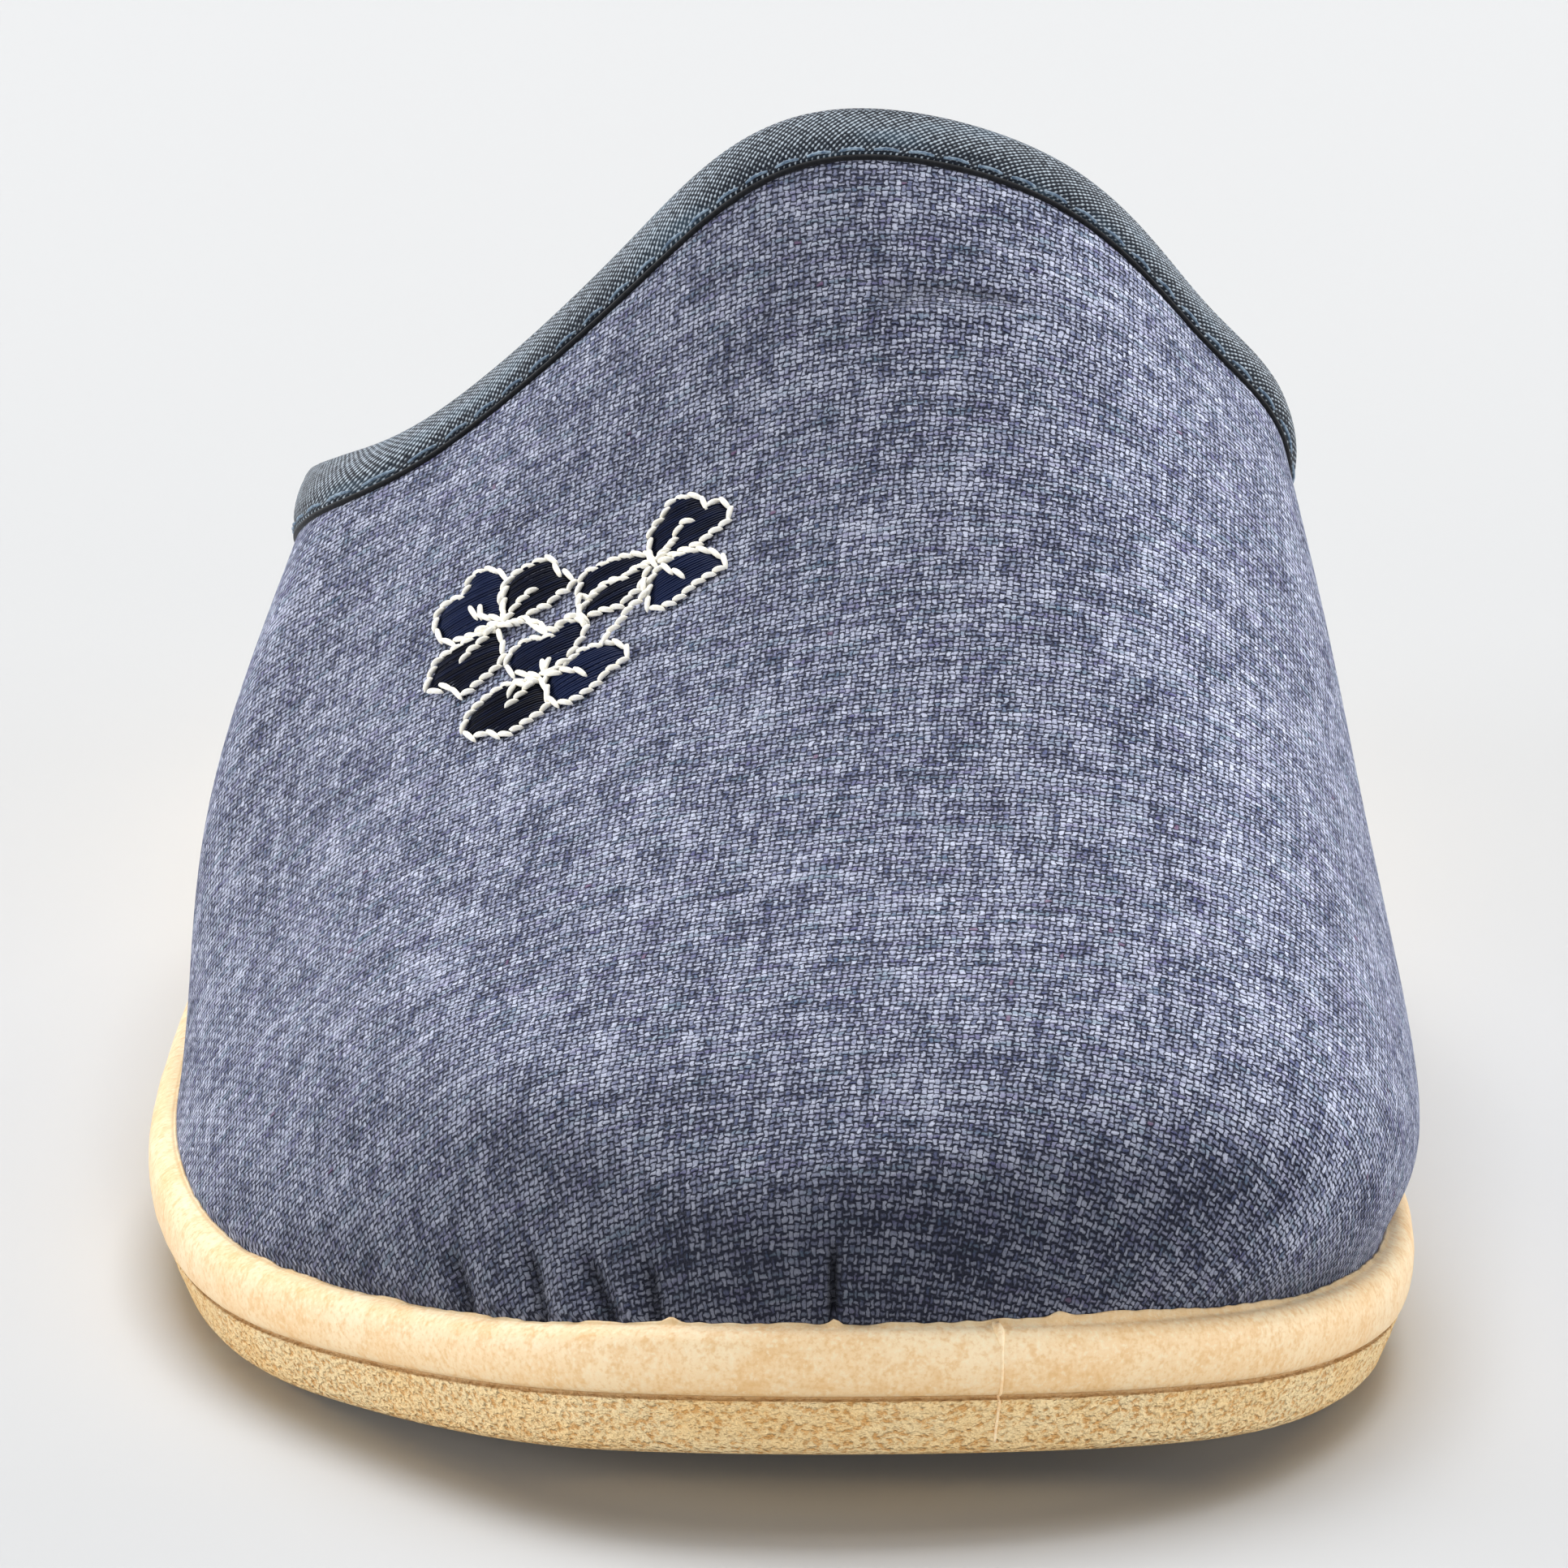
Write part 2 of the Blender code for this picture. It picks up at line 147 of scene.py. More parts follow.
def smooth(low, high, value):
    """0 at low, 1 at high, and a soft step between."""
    share = np.clip((np.asarray(value, float) - low) / (high - low), 0, 1)
    return share * share * (3 - 2 * share)


def unit(vectors):
    return vectors / np.maximum(np.linalg.norm(vectors, axis=-1, keepdims=True), 1e-9)


def run_along(points):
    """Length of a line of points up to each of them."""
    return np.r_[0, np.cumsum(np.linalg.norm(np.diff(points, axis=0), axis=1))]


def at_run(where, run, line):
    """Points of a line at the lengths asked for."""
    return np.stack([np.interp(where, run, column) for column in line.T], axis=-1)


def outline(stations, outward):
    """Closed ring of (x, back) round the sole, moved outward from the groove."""
    table = np.array([(0.0, TOE_X, TOE_X)] + SOLE_OUTLINE + [(SOLE_LENGTH, HEEL_X, HEEL_X)])
    knots = np.arccos(1 - 2 * table[:, 0] / SOLE_LENGTH)
    angle = np.linspace(0, math.pi, stations + 1)
    back = SOLE_LENGTH * (1 - np.cos(angle)) / 2
    outer, inner = [np.c_[side, back] for side in spline(knots, table[:, 1:], angle).T]
    ring = np.concatenate([outer, inner[-2:0:-1]])
    along = np.roll(ring, -1, axis=0) - np.roll(ring, 1, axis=0)
    normal = unit(np.c_[-along[:, 1], along[:, 0]])
    return ring + normal * np.broadcast_to(outward, (len(ring),))[:, None]


def toe_lift(back):
    return TOE_SPRING * np.clip(1 - back / SPRING_REACH, 0, None) ** 2


def bottom(back):
    """Height of the sole's lower edge."""
    heel_run = (back - HEEL_LIFT_FROM) / (SOLE_LENGTH - HEEL_LIFT_FROM)
    heel = HEEL_LIFT * np.clip(heel_run, 0, None) ** 2
    waist = np.clip((back - ARCH_FROM) / (ARCH_TO - ARCH_FROM), 0, 1)
    return toe_lift(back) + heel + ARCH_RISE * np.sin(math.pi * waist) ** 2


def feather_height(back):
    """Top of the sole's rim, where the upper leaves it."""
    table = np.array(SIDE_HEIGHT)
    return spline(table[:, 0], table[:, 1], np.clip(back, 0, SOLE_LENGTH)) + toe_lift(back)


def feather_sides():
    """The upper's foot as two lines of (x, back) from the toe tip, outer then inner."""
    ring = outline(FINE_STATIONS, -FEATHER_INSET)
    ring = np.roll(ring, -int(np.argmin(ring[:, 1])), axis=0)
    tail = int(np.argmax(ring[:, 1]))
    sides = [ring[:tail + 1], np.concatenate([ring[tail:], ring[:1]])[::-1]]
    return sorted(sides, key=lambda side: side[SIDE_STATION, 0])


FEATHER = feather_sides()
TIP_X, TIP_BACK = FEATHER[0][0]


def last_lines(back):
    """Named lines of the last at each distance back: (rows, lines, x and z)."""
    reach = np.sqrt(np.clip(back - TIP_BACK, 0, None))
    sides = [np.interp(reach, np.sqrt(np.clip(s[:, 1] - TIP_BACK, 0, None)), s[:, 0]) for s in FEATHER]
    between = len(SECTION_LINES) - 2
    tip = (TIP_BACK,) + (TIP_X, float(feather_height(TIP_BACK))) * between
    table = np.array([tip] + LAST_SECTIONS)
    give = np.full(len(table), ALONG_GIVE)
    give[0] = 0.0
    body = spline(np.sqrt(table[:, 0] - TIP_BACK), table[:, 1:], reach, give)
    body = body.reshape(len(back), between, 2)
    feather = feather_height(back)
    first, final = [np.c_[side, feather][:, None] for side in sides]
    return np.concatenate([first, body, final], axis=1)


def upper_points(place, back):
    """Outer face of the upper at places across and distances back, as (x, back, z)."""
    knots = [line[1] for line in SECTION_LINES]
    give = np.full(len(knots), ACROSS_GIVE)
    give[[0, -1]] = 0.0
    share = spline(knots, np.eye(len(knots)), place, give)
    section = np.einsum("nk,nkc->nc", share, last_lines(back))
    return np.c_[section[:, 0], back, section[:, 1]]


def upper_slopes(place, back):
    """Change of the outer face's points with place and with back."""
    low = np.clip(place - PLACE_STEP, 0, 1)
    high = np.clip(place + PLACE_STEP, 0, 1)
    across = (upper_points(high, back) - upper_points(low, back)) / (high - low)[:, None]
    ahead = np.maximum(back - BACK_STEP, TIP_BACK + TIP_CLEAR)
    behind = np.maximum(back + BACK_STEP, ahead + BACK_STEP)
    along = (upper_points(place, behind) - upper_points(place, ahead)) / (behind - ahead)[:, None]
    return across, along


def upper_normals(place, back):
    """Outward unit normals of the upper's outer face."""
    return unit(np.cross(*upper_slopes(place, np.maximum(back, TIP_BACK + 2 * TIP_CLEAR))))


def upper_columns():
    """Places of the upper's columns of faces, closer where the section turns."""
    places = [0.0]
    for (_, start, _), (_, end, columns) in zip(SECTION_LINES, SECTION_LINES[1:]):
        places += [start + (end - start) * (i + 1) / columns for i in range(columns)]
    return np.array(places)


def topline(place):
    """How far back the upper's edge lies at each place across."""
    table = np.array(TOPLINE)
    return spline(table[:, 0], table[:, 1], place)


def frame_origin():
    """The part's origin in (x, back, z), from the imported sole's own box."""
    low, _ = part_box("sole")
    ring = outline(FINE_STATIONS, FULLEST)
    return np.array([ring[:, 0].min() - low.x / MM, ring[:, 1].min() - low.y / MM, 0.0])


ORIGIN = frame_origin()


def metres(points):
    return (np.asarray(points, float) - ORIGIN) * MM


def linear(red, green, blue):
    """Scene colour from the 0 to 255 values that a picture shows."""
    shown = np.array([red, green, blue]) / 255
    value = np.where(shown <= 0.04045, shown / 12.92, ((shown + 0.055) / 1.055) ** 2.4)
    return tuple(float(v) for v in value) + (1.0,)


# Meshes

ASKEW = (0.31, 0.52, 0.79)  # a way that no thread runs
FINE_SIDES = 6  # sides of a thin thread
CORD_SIDES = 8  # and of a thick one


def grid_faces(rows, columns, start=0):
    """Quads of a grid whose points run row by row."""
    index = start + np.arange(rows * columns).reshape(rows, columns)
    quads = np.stack([index[:-1, :-1], index[:-1, 1:], index[1:, 1:], index[1:, :-1]], axis=-1)
    return quads.reshape(-1, 4)


def new_mesh(name, points, faces):
    mesh = bpy.data.meshes.new(name)
    mesh.from_pydata(np.asarray(points).tolist(), [], [tuple(int(v) for v in face) for face in faces])
    return mesh


def new_object(name, data):
    made = bpy.data.objects.new(name, data)
    bpy.context.scene.collection.objects.link(made)
    return made


def make_piece(name, shape, material):
    """Smooth mesh object from millimetre points and faces, riding on the shoe's one body."""
    points, faces = shape
    mesh = new_mesh(name, metres(points), faces)
    mesh.validate()
    mesh.shade_smooth()
    mesh.materials.append(material)
    piece = new_object(name, mesh)
    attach(piece, "root")
    return piece


def set_attribute(piece, name, values):
    """Stores one number a point for a material to read."""
    made = piece.data.attributes.new(name, "FLOAT", "POINT")
    made.data.foreach_set("value", np.asarray(values, np.float32))


def corner_points(mesh):
    """Number of the point at each corner of the mesh's faces."""
    corner = np.empty(len(mesh.loops), int)
    mesh.loops.foreach_get("vertex_index", corner)
    return corner


def set_map(piece, name, values):
    """Gives the mesh a flat map from millimetre values at its points."""
    layer = piece.data.uv_layers.new(name=name)
    flat = np.asarray(values)[corner_points(piece.data)] * MM
    layer.uv.foreach_set("vector", flat.astype(np.float32).ravel())


def closed_shell(outer, inner):
    """Points and faces of a sheet with two faces and a closed border, from two grids of points."""
    rows, columns = outer.shape[:2]
    count = rows * columns
    index = np.arange(count).reshape(rows, columns)
    border = np.concatenate([index[0, :-1], index[:-1, -1], index[-1, :0:-1], index[:0:-1, 0]])
    after = np.roll(border, -1)
    rim = np.c_[after, border, border + count, after + count]
    faces = np.concatenate([grid_faces(rows, columns), grid_faces(rows, columns, count)[:, ::-1], rim])
    return np.concatenate([outer.reshape(-1, 3), inner.reshape(-1, 3)]), faces


def tubes(paths, radius, sides):
    """One joined mesh of round threads, each along its own row of points: (threads, points, 3)."""
    paths = np.asarray(paths, float)
    count, length, _ = paths.shape
    along = unit(np.gradient(paths, axis=1))
    across = unit(np.cross(along, ASKEW))
    over = np.cross(along, across)
    angle = np.linspace(0, 2 * math.pi, sides, endpoint=False)
    wide = np.broadcast_to(radius, (count, length))[:, :, None, None]
    ring = across[:, :, None] * np.cos(angle)[:, None] + over[:, :, None] * np.sin(angle)[:, None]
    points = (paths[:, :, None] + wide * ring).reshape(-1, 3)
    index = np.arange(count * length * sides).reshape(count, length, sides)
    near, far = index[:, :-1], index[:, 1:]
    quads = np.stack([near, np.roll(near, -1, 2), np.roll(far, -1, 2), far], axis=-1).reshape(-1, 4)
    return points, [*quads, *index[:, 0, ::-1], *index[:, -1]]


# Materials, with lengths in millimetres and noise scales in waves a millimetre

class Signal:
    """A node's output, which adds, subtracts, multiplies and divides as a number does."""

    def __init__(self, tree, socket):
        self.tree = tree
        self.socket = socket

    def __add__(self, other):
        return self.tree.math("ADD", self, other)

    def __sub__(self, other):
        return self.tree.math("SUBTRACT", self, other)

    def __mul__(self, other):
        return self.tree.math("MULTIPLY", self, other)

    def __truediv__(self, other):
        return self.tree.math("DIVIDE", self, other)


class Tree:
    """Short calls for building one material's nodes."""

    def __init__(self, name):
        self.material = bpy.data.materials.new(name)
        self.material.use_nodes = True
        self.nodes = self.material.node_tree.nodes

    def add(self, kind, inputs, out=0, **settings):
        """One output of a new node with these inputs and settings."""
        made = self.nodes.new("ShaderNode" + kind)
        for key, value in settings.items():
            setattr(made, key, value)
        for key, value in inputs.items():
            self.put(made.inputs[key], value)
        return Signal(self, made.outputs[out])

    def put(self, socket, value):
        if isinstance(value, Signal):
            self.material.node_tree.links.new(value.socket, socket)
        else:
            socket.default_value = value

    def math(self, operation, *values):
        return self.add("Math", dict(enumerate(values)), operation=operation)

    def mix(self, share, first, second):
        """Number between two numbers."""
        return self.add("Mix", {"Factor": share, "A": first, "B": second})

    def blend(self, share, first, second):
        """Colour between two colours."""
        return self.add("Mix", {0: share, 6: first, 7: second}, 2, data_type="RGBA")

    def stain(self, colour, share, most, other):
        """Colour stained with another one, by its share of the most that it takes."""
        return self.blend(share * most, colour, linear(*other))

    def vector(self, x, y, z=0.0):
        return self.add("CombineXYZ", {"X": x, "Y": y, "Z": z})

    def split(self, vector):
        made = self.add("SeparateXYZ", {"Vector": vector}).socket.node
        return [Signal(self, socket) for socket in made.outputs]

    def noise(self, vector, scale=1.0, detail=2.0, roughness=0.5, out=0):
        inputs = {"Vector": vector, "Scale": scale, "Detail": detail, "Roughness": roughness}
        return self.add("TexNoise", inputs, out)

    def streaks(self, x, y, waves_x, waves_y, level=0.0, detail=2.0):
        """Noise drawn out along one way of a flat map."""
        return self.noise(self.vector(x * waves_x, y * waves_y, level), detail=detail)

    def chance(self, vector):
        """A number from 0 to 1 for each whole place."""
        return self.add("TexWhiteNoise", {"Vector": vector}, noise_dimensions="3D")

    def ramp(self, value, low, high):
        """Soft step from 0 at low to 1 at high."""
        inputs = {"Value": value, "From Min": low, "From Max": high}
        return self.add("MapRange", inputs, interpolation_type="SMOOTHSTEP")

    def attribute(self, name):
        return self.add("Attribute", {}, "Fac", attribute_name=name)

    def millimetres(self, vector):
        return self.add("VectorMath", {"Vector": vector, "Scale": 1 / MM}, operation="SCALE")

    def map(self, name):
        return self.millimetres(self.add("UVMap", {}, uv_map=name))

    def place(self):
        return self.millimetres(self.add("TexCoord", {}, "Object"))

    def bump(self, height, distance, strength=1.0, below=None):
        inputs = {"Height": height, "Distance": distance * MM, "Strength": strength}
        if below is not None:
            inputs["Normal"] = below
        return self.add("Bump", inputs)

    def finish(self, colour, roughness, normal=None, **constants):
        shader = self.nodes["Principled BSDF"]
        self.put(shader.inputs["Base Color"], colour)
        self.put(shader.inputs["Roughness"], roughness)
        if normal is not None:
            self.put(shader.inputs["Normal"], normal)
        for key, value in constants.items():
            shader.inputs[key.replace("_", " ")].default_value = value
        return self.material


WARP_PITCH = 0.49
WEFT_PITCH = 0.68
WANDER = [  # waves a millimetre of the yarns' unevenness, how far they stray
    (0.35, 0.5), (1.3, 0.38), (3.4, 0.2),
]
NEP_RARITY = 0.9992  # share of the floats without a fleck of other colour
TAPE_RIB = 0.52
TAPE_TICK = 0.42
PIT_SLANT = 32.0  # degrees
PIT_STRETCH = (1.6, 1.9, 2.2)
INSOLE_WARP = 0.55
INSOLE_WEFT = 0.6


def plain_weave(t, u, v):
    """Height, yarn tone and chance of each float of a plain weave, with one thread a unit along u and v."""
    column = t.math("FLOOR", u)
    row = t.math("FLOOR", v)
    across = t.math("SINE", (u - column) * math.pi)
    along = t.math("SINE", (v - row) * math.pi)
    over = t.math("FLOORED_MODULO", column + row, 2.0)
    warp = across * (along * 0.2 + 0.8)
    weft = along * along * (across * 0.2 + 0.8)
    warp_tone = t.streaks(column, v, 7.31, 0.42)
    weft_tone = t.streaks(u, row, 0.3, 5.17, 9.0)
    speck = t.chance(t.vector(column, row))
    return t.mix(over, warp, weft), t.mix(over, warp_tone, weft_tone), speck


def cloth_material():
    """Heathered blue plain weave: pale strokes of yarn with dark, uneven slivers of painted shade between
    them, and painted shade over the toe and in the folds.
    """
    t = Tree("upper_cloth")
    flat = t.map("weave")
    moved = flat
    for waves, reach in WANDER:
        stray = t.noise(flat, waves, 1.0, out=1)
        moved = t.add("VectorMath", {0: stray, 1: (reach, reach, 0.0), 2: moved}, operation="MULTIPLY_ADD")
    u, v, _ = t.split(moved)
    u = u / WARP_PITCH
    v = v / WEFT_PITCH
    height, tone, speck = plain_weave(t, u, v)
    x, y, _ = t.split(flat)
    slubs = t.streaks(x, y, 0.9, 0.12) + t.streaks(x, y, 0.12, 0.8, 4.0)
    mood = slubs * 0.7 + t.noise(flat, 0.13, 3.0, 0.55) * 0.5
    fibre = t.noise(flat, 5.2, 2.0, 0.6) * 2.0
    heather = tone + (speck + fibre) * 0.3 + mood * 0.6
    yarn = t.blend(t.ramp(heather, 1.1, 1.91), linear(88, 98, 142), linear(228, 233, 255))
    tint = t.streaks(x, y, 0.3, 0.9, 7.0)
    yarn = t.stain(yarn, t.ramp(tint, 0.54, 0.70), 0.45, (110, 94, 160))
    yarn = t.stain(yarn, t.ramp(tint, 0.46, 0.30), 0.45, (92, 138, 156))
    nep = t.chance(t.vector(t.math("FLOOR", u), t.math("FLOOR", v), 3.0))
    yarn = t.stain(yarn, t.math("GREATER_THAN", nep, NEP_RARITY), 0.7, (112, 44, 96))
    # painted shade over the toe's front and beside the sole, where the cloth is turned from the light
    toe = t.attribute("painted_toe_shade")
    yarn = t.stain(yarn, toe, 0.82, (42, 44, 52))
    # the gap colour is painted shade in the hollows between the yarn crowns
    gap = t.stain(linear(19, 23, 48), toe, 0.75, (34, 36, 44))
    ragged = t.noise(flat, 2.4, 4.0, 0.68)
    crown = height + (ragged + mood * 0.65) * 1.35 + speck * 0.12 - 1.515
    colour = t.blend(t.ramp(crown - toe * 0.1, 0.34, 0.84), gap, yarn)
    # painted shade in the troughs of the folds
    colour = t.stain(colour, t.attribute("fold"), 0.8, (13, 14, 20))
    normal = t.bump(t.noise(flat, 5.0), 0.03, 0.5, t.bump(crown, 0.16, 0.8))
    return t.finish(colour, 0.92, normal, Sheen_Weight=0.3, Sheen_Roughness=0.4,
                    Sheen_Tint=linear(214, 219, 236), Specular_IOR_Level=0.15)


def lining_material():
    """Brushed pale cotton."""
    t = Tree("lining_cotton")
    flat = t.place()
    nap = t.noise(flat, 2.2, 3.0)
    colour = t.blend(t.noise(flat, 0.12), linear(168, 166, 164), linear(200, 197, 192))
    colour = t.blend(t.ramp(nap, 0.35, 0.7), colour, linear(212, 209, 203))
    return t.finish(colour, 0.95, t.bump(nap, 0.12, 0.6), Sheen_Weight=0.3, Sheen_Roughness=0.5)


def binding_material():
    """Dark denim twill tape, peppered with the pale threads of its weft."""
    t = Tree("binding_twill")
    flat = t.map("tape")
    along, width, _ = t.split(flat)
    rib = t.math("SINE", (along + width * 0.75) * (2 * math.pi / TAPE_RIB))
    tick = t.math("SINE", (along * 0.8 - width) * (2 * math.pi / TAPE_TICK))
    relief = (rib * 0.6 + tick) * 0.3 + 0.5
    pepper = t.noise(flat, 1.9, 3.0, 0.65)
    fade = t.streaks(along, width, 0.1, 0.3, detail=3.0)
    edge = t.ramp(width, -2.2, -4.4)
    pale = relief * 0.8 + pepper * 0.9 + fade * 0.35 - edge * 0.12
    colour = t.blend(t.ramp(pale, 0.96, 1.38), linear(19, 27, 38), linear(186, 198, 210))
    colour = t.stain(colour, t.ramp(fade, 0.5, 0.75), 0.3, (84, 112, 132))
    return t.finish(colour, 0.9, t.bump(relief, 0.08, 0.8), Sheen_Weight=0.15, Sheen_Roughness=0.5,
                    Specular_IOR_Level=0.2)


def thread_material(name, dark, pale, roughness):
    """Twisted thread, a little uneven along its length."""
    t = Tree(name)
    strand = t.noise(t.place(), 3.0)
    colour = t.blend(t.ramp(strand, 0.3, 0.7), linear(*dark), linear(*pale))
    return t.finish(colour, roughness, t.bump(strand, 0.05, 0.5), Sheen_Weight=0.15, Specular_IOR_Level=0.3)


def satin_material():
    """Glossy navy floss, with painted sheen that differs from petal to petal and from thread to thread."""
    t = Tree("satin_thread")
    streak = t.noise(t.place(), 1.1) * 0.6 + t.attribute("strand")
    colour = t.blend(t.ramp(streak, 0.2, 1.4), linear(7, 8, 18), linear(25, 37, 72))
    return t.finish(colour, 0.5, Specular_IOR_Level=0.12)


def sole_material():
    """Tan rubber: mottled smooth foxing, slanting pits with painted shade in the lower band, painted shade
    in the groove and in the flash's fillet at the cloth.
    """
    t = Tree("crepe_rubber")
    place = t.place()
    band = t.attribute("band")
    groove = t.attribute("groove")
    turned = {"Vector": place, "Rotation": (0.0, math.radians(PIT_SLANT), 0.0), "Scale": PIT_STRETCH}
    pitting = t.noise(t.add("Mapping", turned), 1.0, 2.5, 0.55)
    cloud = t.ramp(t.noise(place, 0.16, 3.0), 0.3, 0.7)
    grain = t.noise(place, 2.2, 3.0, 0.6)
    blotch = t.noise(place, 0.55, 3.0, 0.6)
    foxing = t.blend(cloud, linear(250, 216, 168), linear(255, 233, 194))
    foxing = t.stain(foxing, t.ramp(blotch, 0.46, 0.68), 0.5, (237, 192, 133))
    foxing = t.stain(foxing, t.ramp(grain, 0.50, 0.66), 0.42, (232, 186, 124))
    foxing = t.stain(foxing, t.ramp(grain, 0.46, 0.34), 0.5, (255, 242, 210))
    lower = t.blend(cloud, linear(255, 218, 156), linear(255, 229, 178))
    # the pits are painted darker: painted shade in their hollows
    lower = t.stain(lower, t.ramp(pitting, 0.52, 0.35), 0.8, (216, 153, 75))
    lower = t.stain(lower, t.ramp(grain, 0.46, 0.32), 0.3, (254, 232, 186))
    colour = t.blend(band, foxing, lower)
    # painted shade in the fillet where the flash meets the cloth
    colour = t.stain(colour, t.attribute("lip"), 0.6, (196, 166, 120))
    # darker down the foxing towards the groove, and painted shade in the groove itself, darkest on its own
    # rings
    colour = t.stain(colour, groove, 0.5, (180, 136, 70))
    colour = t.stain(colour, t.ramp(groove, 0.8, 1.0), 0.5, (146, 102, 48))
    normal = t.bump(pitting, 1.1, band, t.bump(grain, 0.1, 0.8))
    return t.finish(colour, t.mix(band, 0.5, 0.7), normal, Specular_IOR_Level=0.35)


def insole_material():
    """Plain cotton cloth over the footbed, with painted shade in the weave's hollows."""
    t = Tree("insole_cloth")
    place = t.place()
    x, y, _ = t.split(place)
    height, tone, _ = plain_weave(t, x / INSOLE_WARP, y / INSOLE_WEFT)
    worn = tone * 0.8 + t.noise(place, 0.05, 3.0) * 0.35
    colour = t.blend(t.ramp(worn, 0.3, 0.9), linear(150, 145, 140), linear(196, 191, 184))
    # painted shade in the hollows between the yarns
    colour = t.blend(t.ramp(height, 0.1, 0.6), linear(112, 108, 105), colour)
    return t.finish(colour, 0.95, t.bump(height, 0.12, 0.7), Sheen_Weight=0.2, Specular_IOR_Level=0.2)


# Upper cloth and lining

CLOTH = 1.2  # outer cloth, and the rest of the wall is lining
LINING_GAP = 0.05
LINING_STEP = 3  # the lining uses every third column and row
CLOTH_ROWS = 150
ROW_CROWDING = 1.7
FOOT_DEPTH = 2.6  # how far the upper stands down inside the sole's rim
FLAT_ROWS = 40  # coarse grid on which the cloth is laid out flat
FLAT_STEP = 4  # it uses every fourth column
FLAT_ROUNDS = 40
WARP_LEAN = 5.3  # degrees that the weave is turned on the flat cloth
WARP_SHEAR = 0.026  # how far the warp leans from square, inward a millimetre
TOE_SHADE = [  # how squarely the toe cloth faces forward, how dark its painted shade shows there, the front being turned from the light
    (0.12, 0.0), (0.40, 0.48), (0.60, 0.74), (1.00, 1.0),
]
TOE_SHADE_TURN = math.radians(12.0)
FOOT_SHADE = 0.9  # painted shade of the cloth beside the sole at the toe, where the sole's rim shades it
FOOT_SHADE_RISE = 6.5
FOOT_SHADE_FADE = (60.0, 20.0)  # distances back between which it comes in
FOLD_FULL = 0.6  # depth at which a fold's painted shade shows full
CREASE_FADE = (1.25, 0.55)  # shares of its length between which a crease comes up from nothing
CREASES = [  # name, place and back at its two ends, half width, depth (below 0 rises)
    ("toe_pleat", 0.560, 1.02, 0.459, 1.96, 0.42, 0.95),
    ("pucker_far", 0.002, 15.3, 0.056, 18.6, 0.62, 0.6),
    ("pucker_far_ridge", 0.003, 12.4, 0.062, 15.4, 1.2, -0.3),
    ("pucker_mid", 0.002, 8.9, 0.075, 12.6, 0.62, 0.7),
    ("pucker_mid_ridge", 0.004, 7.0, 0.075, 10.5, 1.0, -0.3),
    ("pucker_near", 0.004, 5.0, 0.080, 9.0, 0.62, 0.7),
    ("pucker_near_ridge", 0.006, 4.2, 0.082, 7.4, 0.9, -0.3),
    ("pucker_front", 0.006, 3.4, 0.088, 6.0, 0.55, 0.65),
    ("throat_fold", 0.545, 122.1, 0.615, 123.0, 1.2, 0.5),
    ("throat_ridge", 0.540, 119.6, 0.600, 120.6, 1.6, -0.45),
    ("throat_ridge_side", 0.600, 120.6, 0.650, 122.6, 1.6, -0.4),
]


def crease_depth(points):
    """How far the soft creases sink the cloth at each point."""
    depth = np.zeros(len(points))
    for _, place_a, back_a, place_b, back_b, half, deep in CREASES:
        start, end = upper_points(np.array([place_a, place_b]), np.array([back_a, back_b]))
        run = end - start
        along = (points - start) @ run / (run @ run)
        aside = np.linalg.norm(points - start - np.clip(along, 0, 1)[:, None] * run, axis=1)
        depth += deep * smooth(*CREASE_FADE, along) * np.exp(-(aside / half) ** 2)
    return depth


def cloth_grid(places, rows):
    """Places and backs of a grid over the upper, toe tip to topline, row by row."""
    steps = np.linspace(0, 1, rows + 1) ** ROW_CROWDING
    back = TIP_BACK + (topline(places) - TIP_BACK)[None] * steps[:, None]
    return np.broadcast_to(places, back.shape), back


def with_foot(grid, first, final):
    """Grid with a column more at each side, for the foot inside the sole's rim."""
    return np.concatenate([first[:, None], grid, final[:, None]], axis=1)


def sheet_points(place, back, inward):
    """Grid points sunk inward from the outer face, down to the foot inside the sole's rim."""
    face = upper_points(place.ravel(), back.ravel())
    sunk = inward + crease_depth(face)
    grid = face - upper_normals(place.ravel(), back.ravel()) * sunk[:, None]
    grid = grid.reshape(*back.shape, 3)
    foot = np.array([0.0, 0.0, FOOT_DEPTH])
    return with_foot(grid, grid[:, 0] - foot, grid[:, -1] - foot)


def lay_flat(places):
    """Lays the upper's face out flat with little stretch: (rows, columns, 2) in millimetres."""
    place, back = cloth_grid(places, FLAT_ROWS)
    solid = upper_points(place[1:].ravel(), back[1:].ravel())
    tip = upper_points(np.array([0.5]), np.array([TIP_BACK]))
    columns = len(places)
    fan = [(0, i + 2, i + 1) for i in range(columns - 1)]
    faces = fan + list(grid_faces(FLAT_ROWS, columns, 1)[:, ::-1])
    mesh = new_mesh("flat", np.concatenate([tip, solid]), faces)
    sheet = new_object("flat", mesh)
    bpy.context.view_layer.objects.active = sheet
    sheet.select_set(True)
    mesh.uv_layers.new(name="flat")
    bpy.ops.object.mode_set(mode="EDIT")
    bpy.ops.mesh.select_all(action="SELECT")
    bpy.ops.uv.unwrap(method="MINIMUM_STRETCH", fill_holes=False, iterations=FLAT_ROUNDS, no_flip=True)
    bpy.ops.object.mode_set(mode="OBJECT")
    seen = np.empty(len(mesh.loops) * 2, np.float32)
    mesh.uv_layers["flat"].uv.foreach_get("vector", seen)
    flat = np.empty((len(mesh.vertices), 2))
    flat[corner_points(mesh)] = seen.reshape(-1, 2)
    bpy.data.objects.remove(sheet)
    bpy.data.meshes.remove(mesh)
    rows = np.concatenate([np.repeat(flat[:1], columns, axis=0), flat[1:]]).reshape(-1, columns, 2)
    return level_flat(rows, solid.reshape(-1, columns, 3))


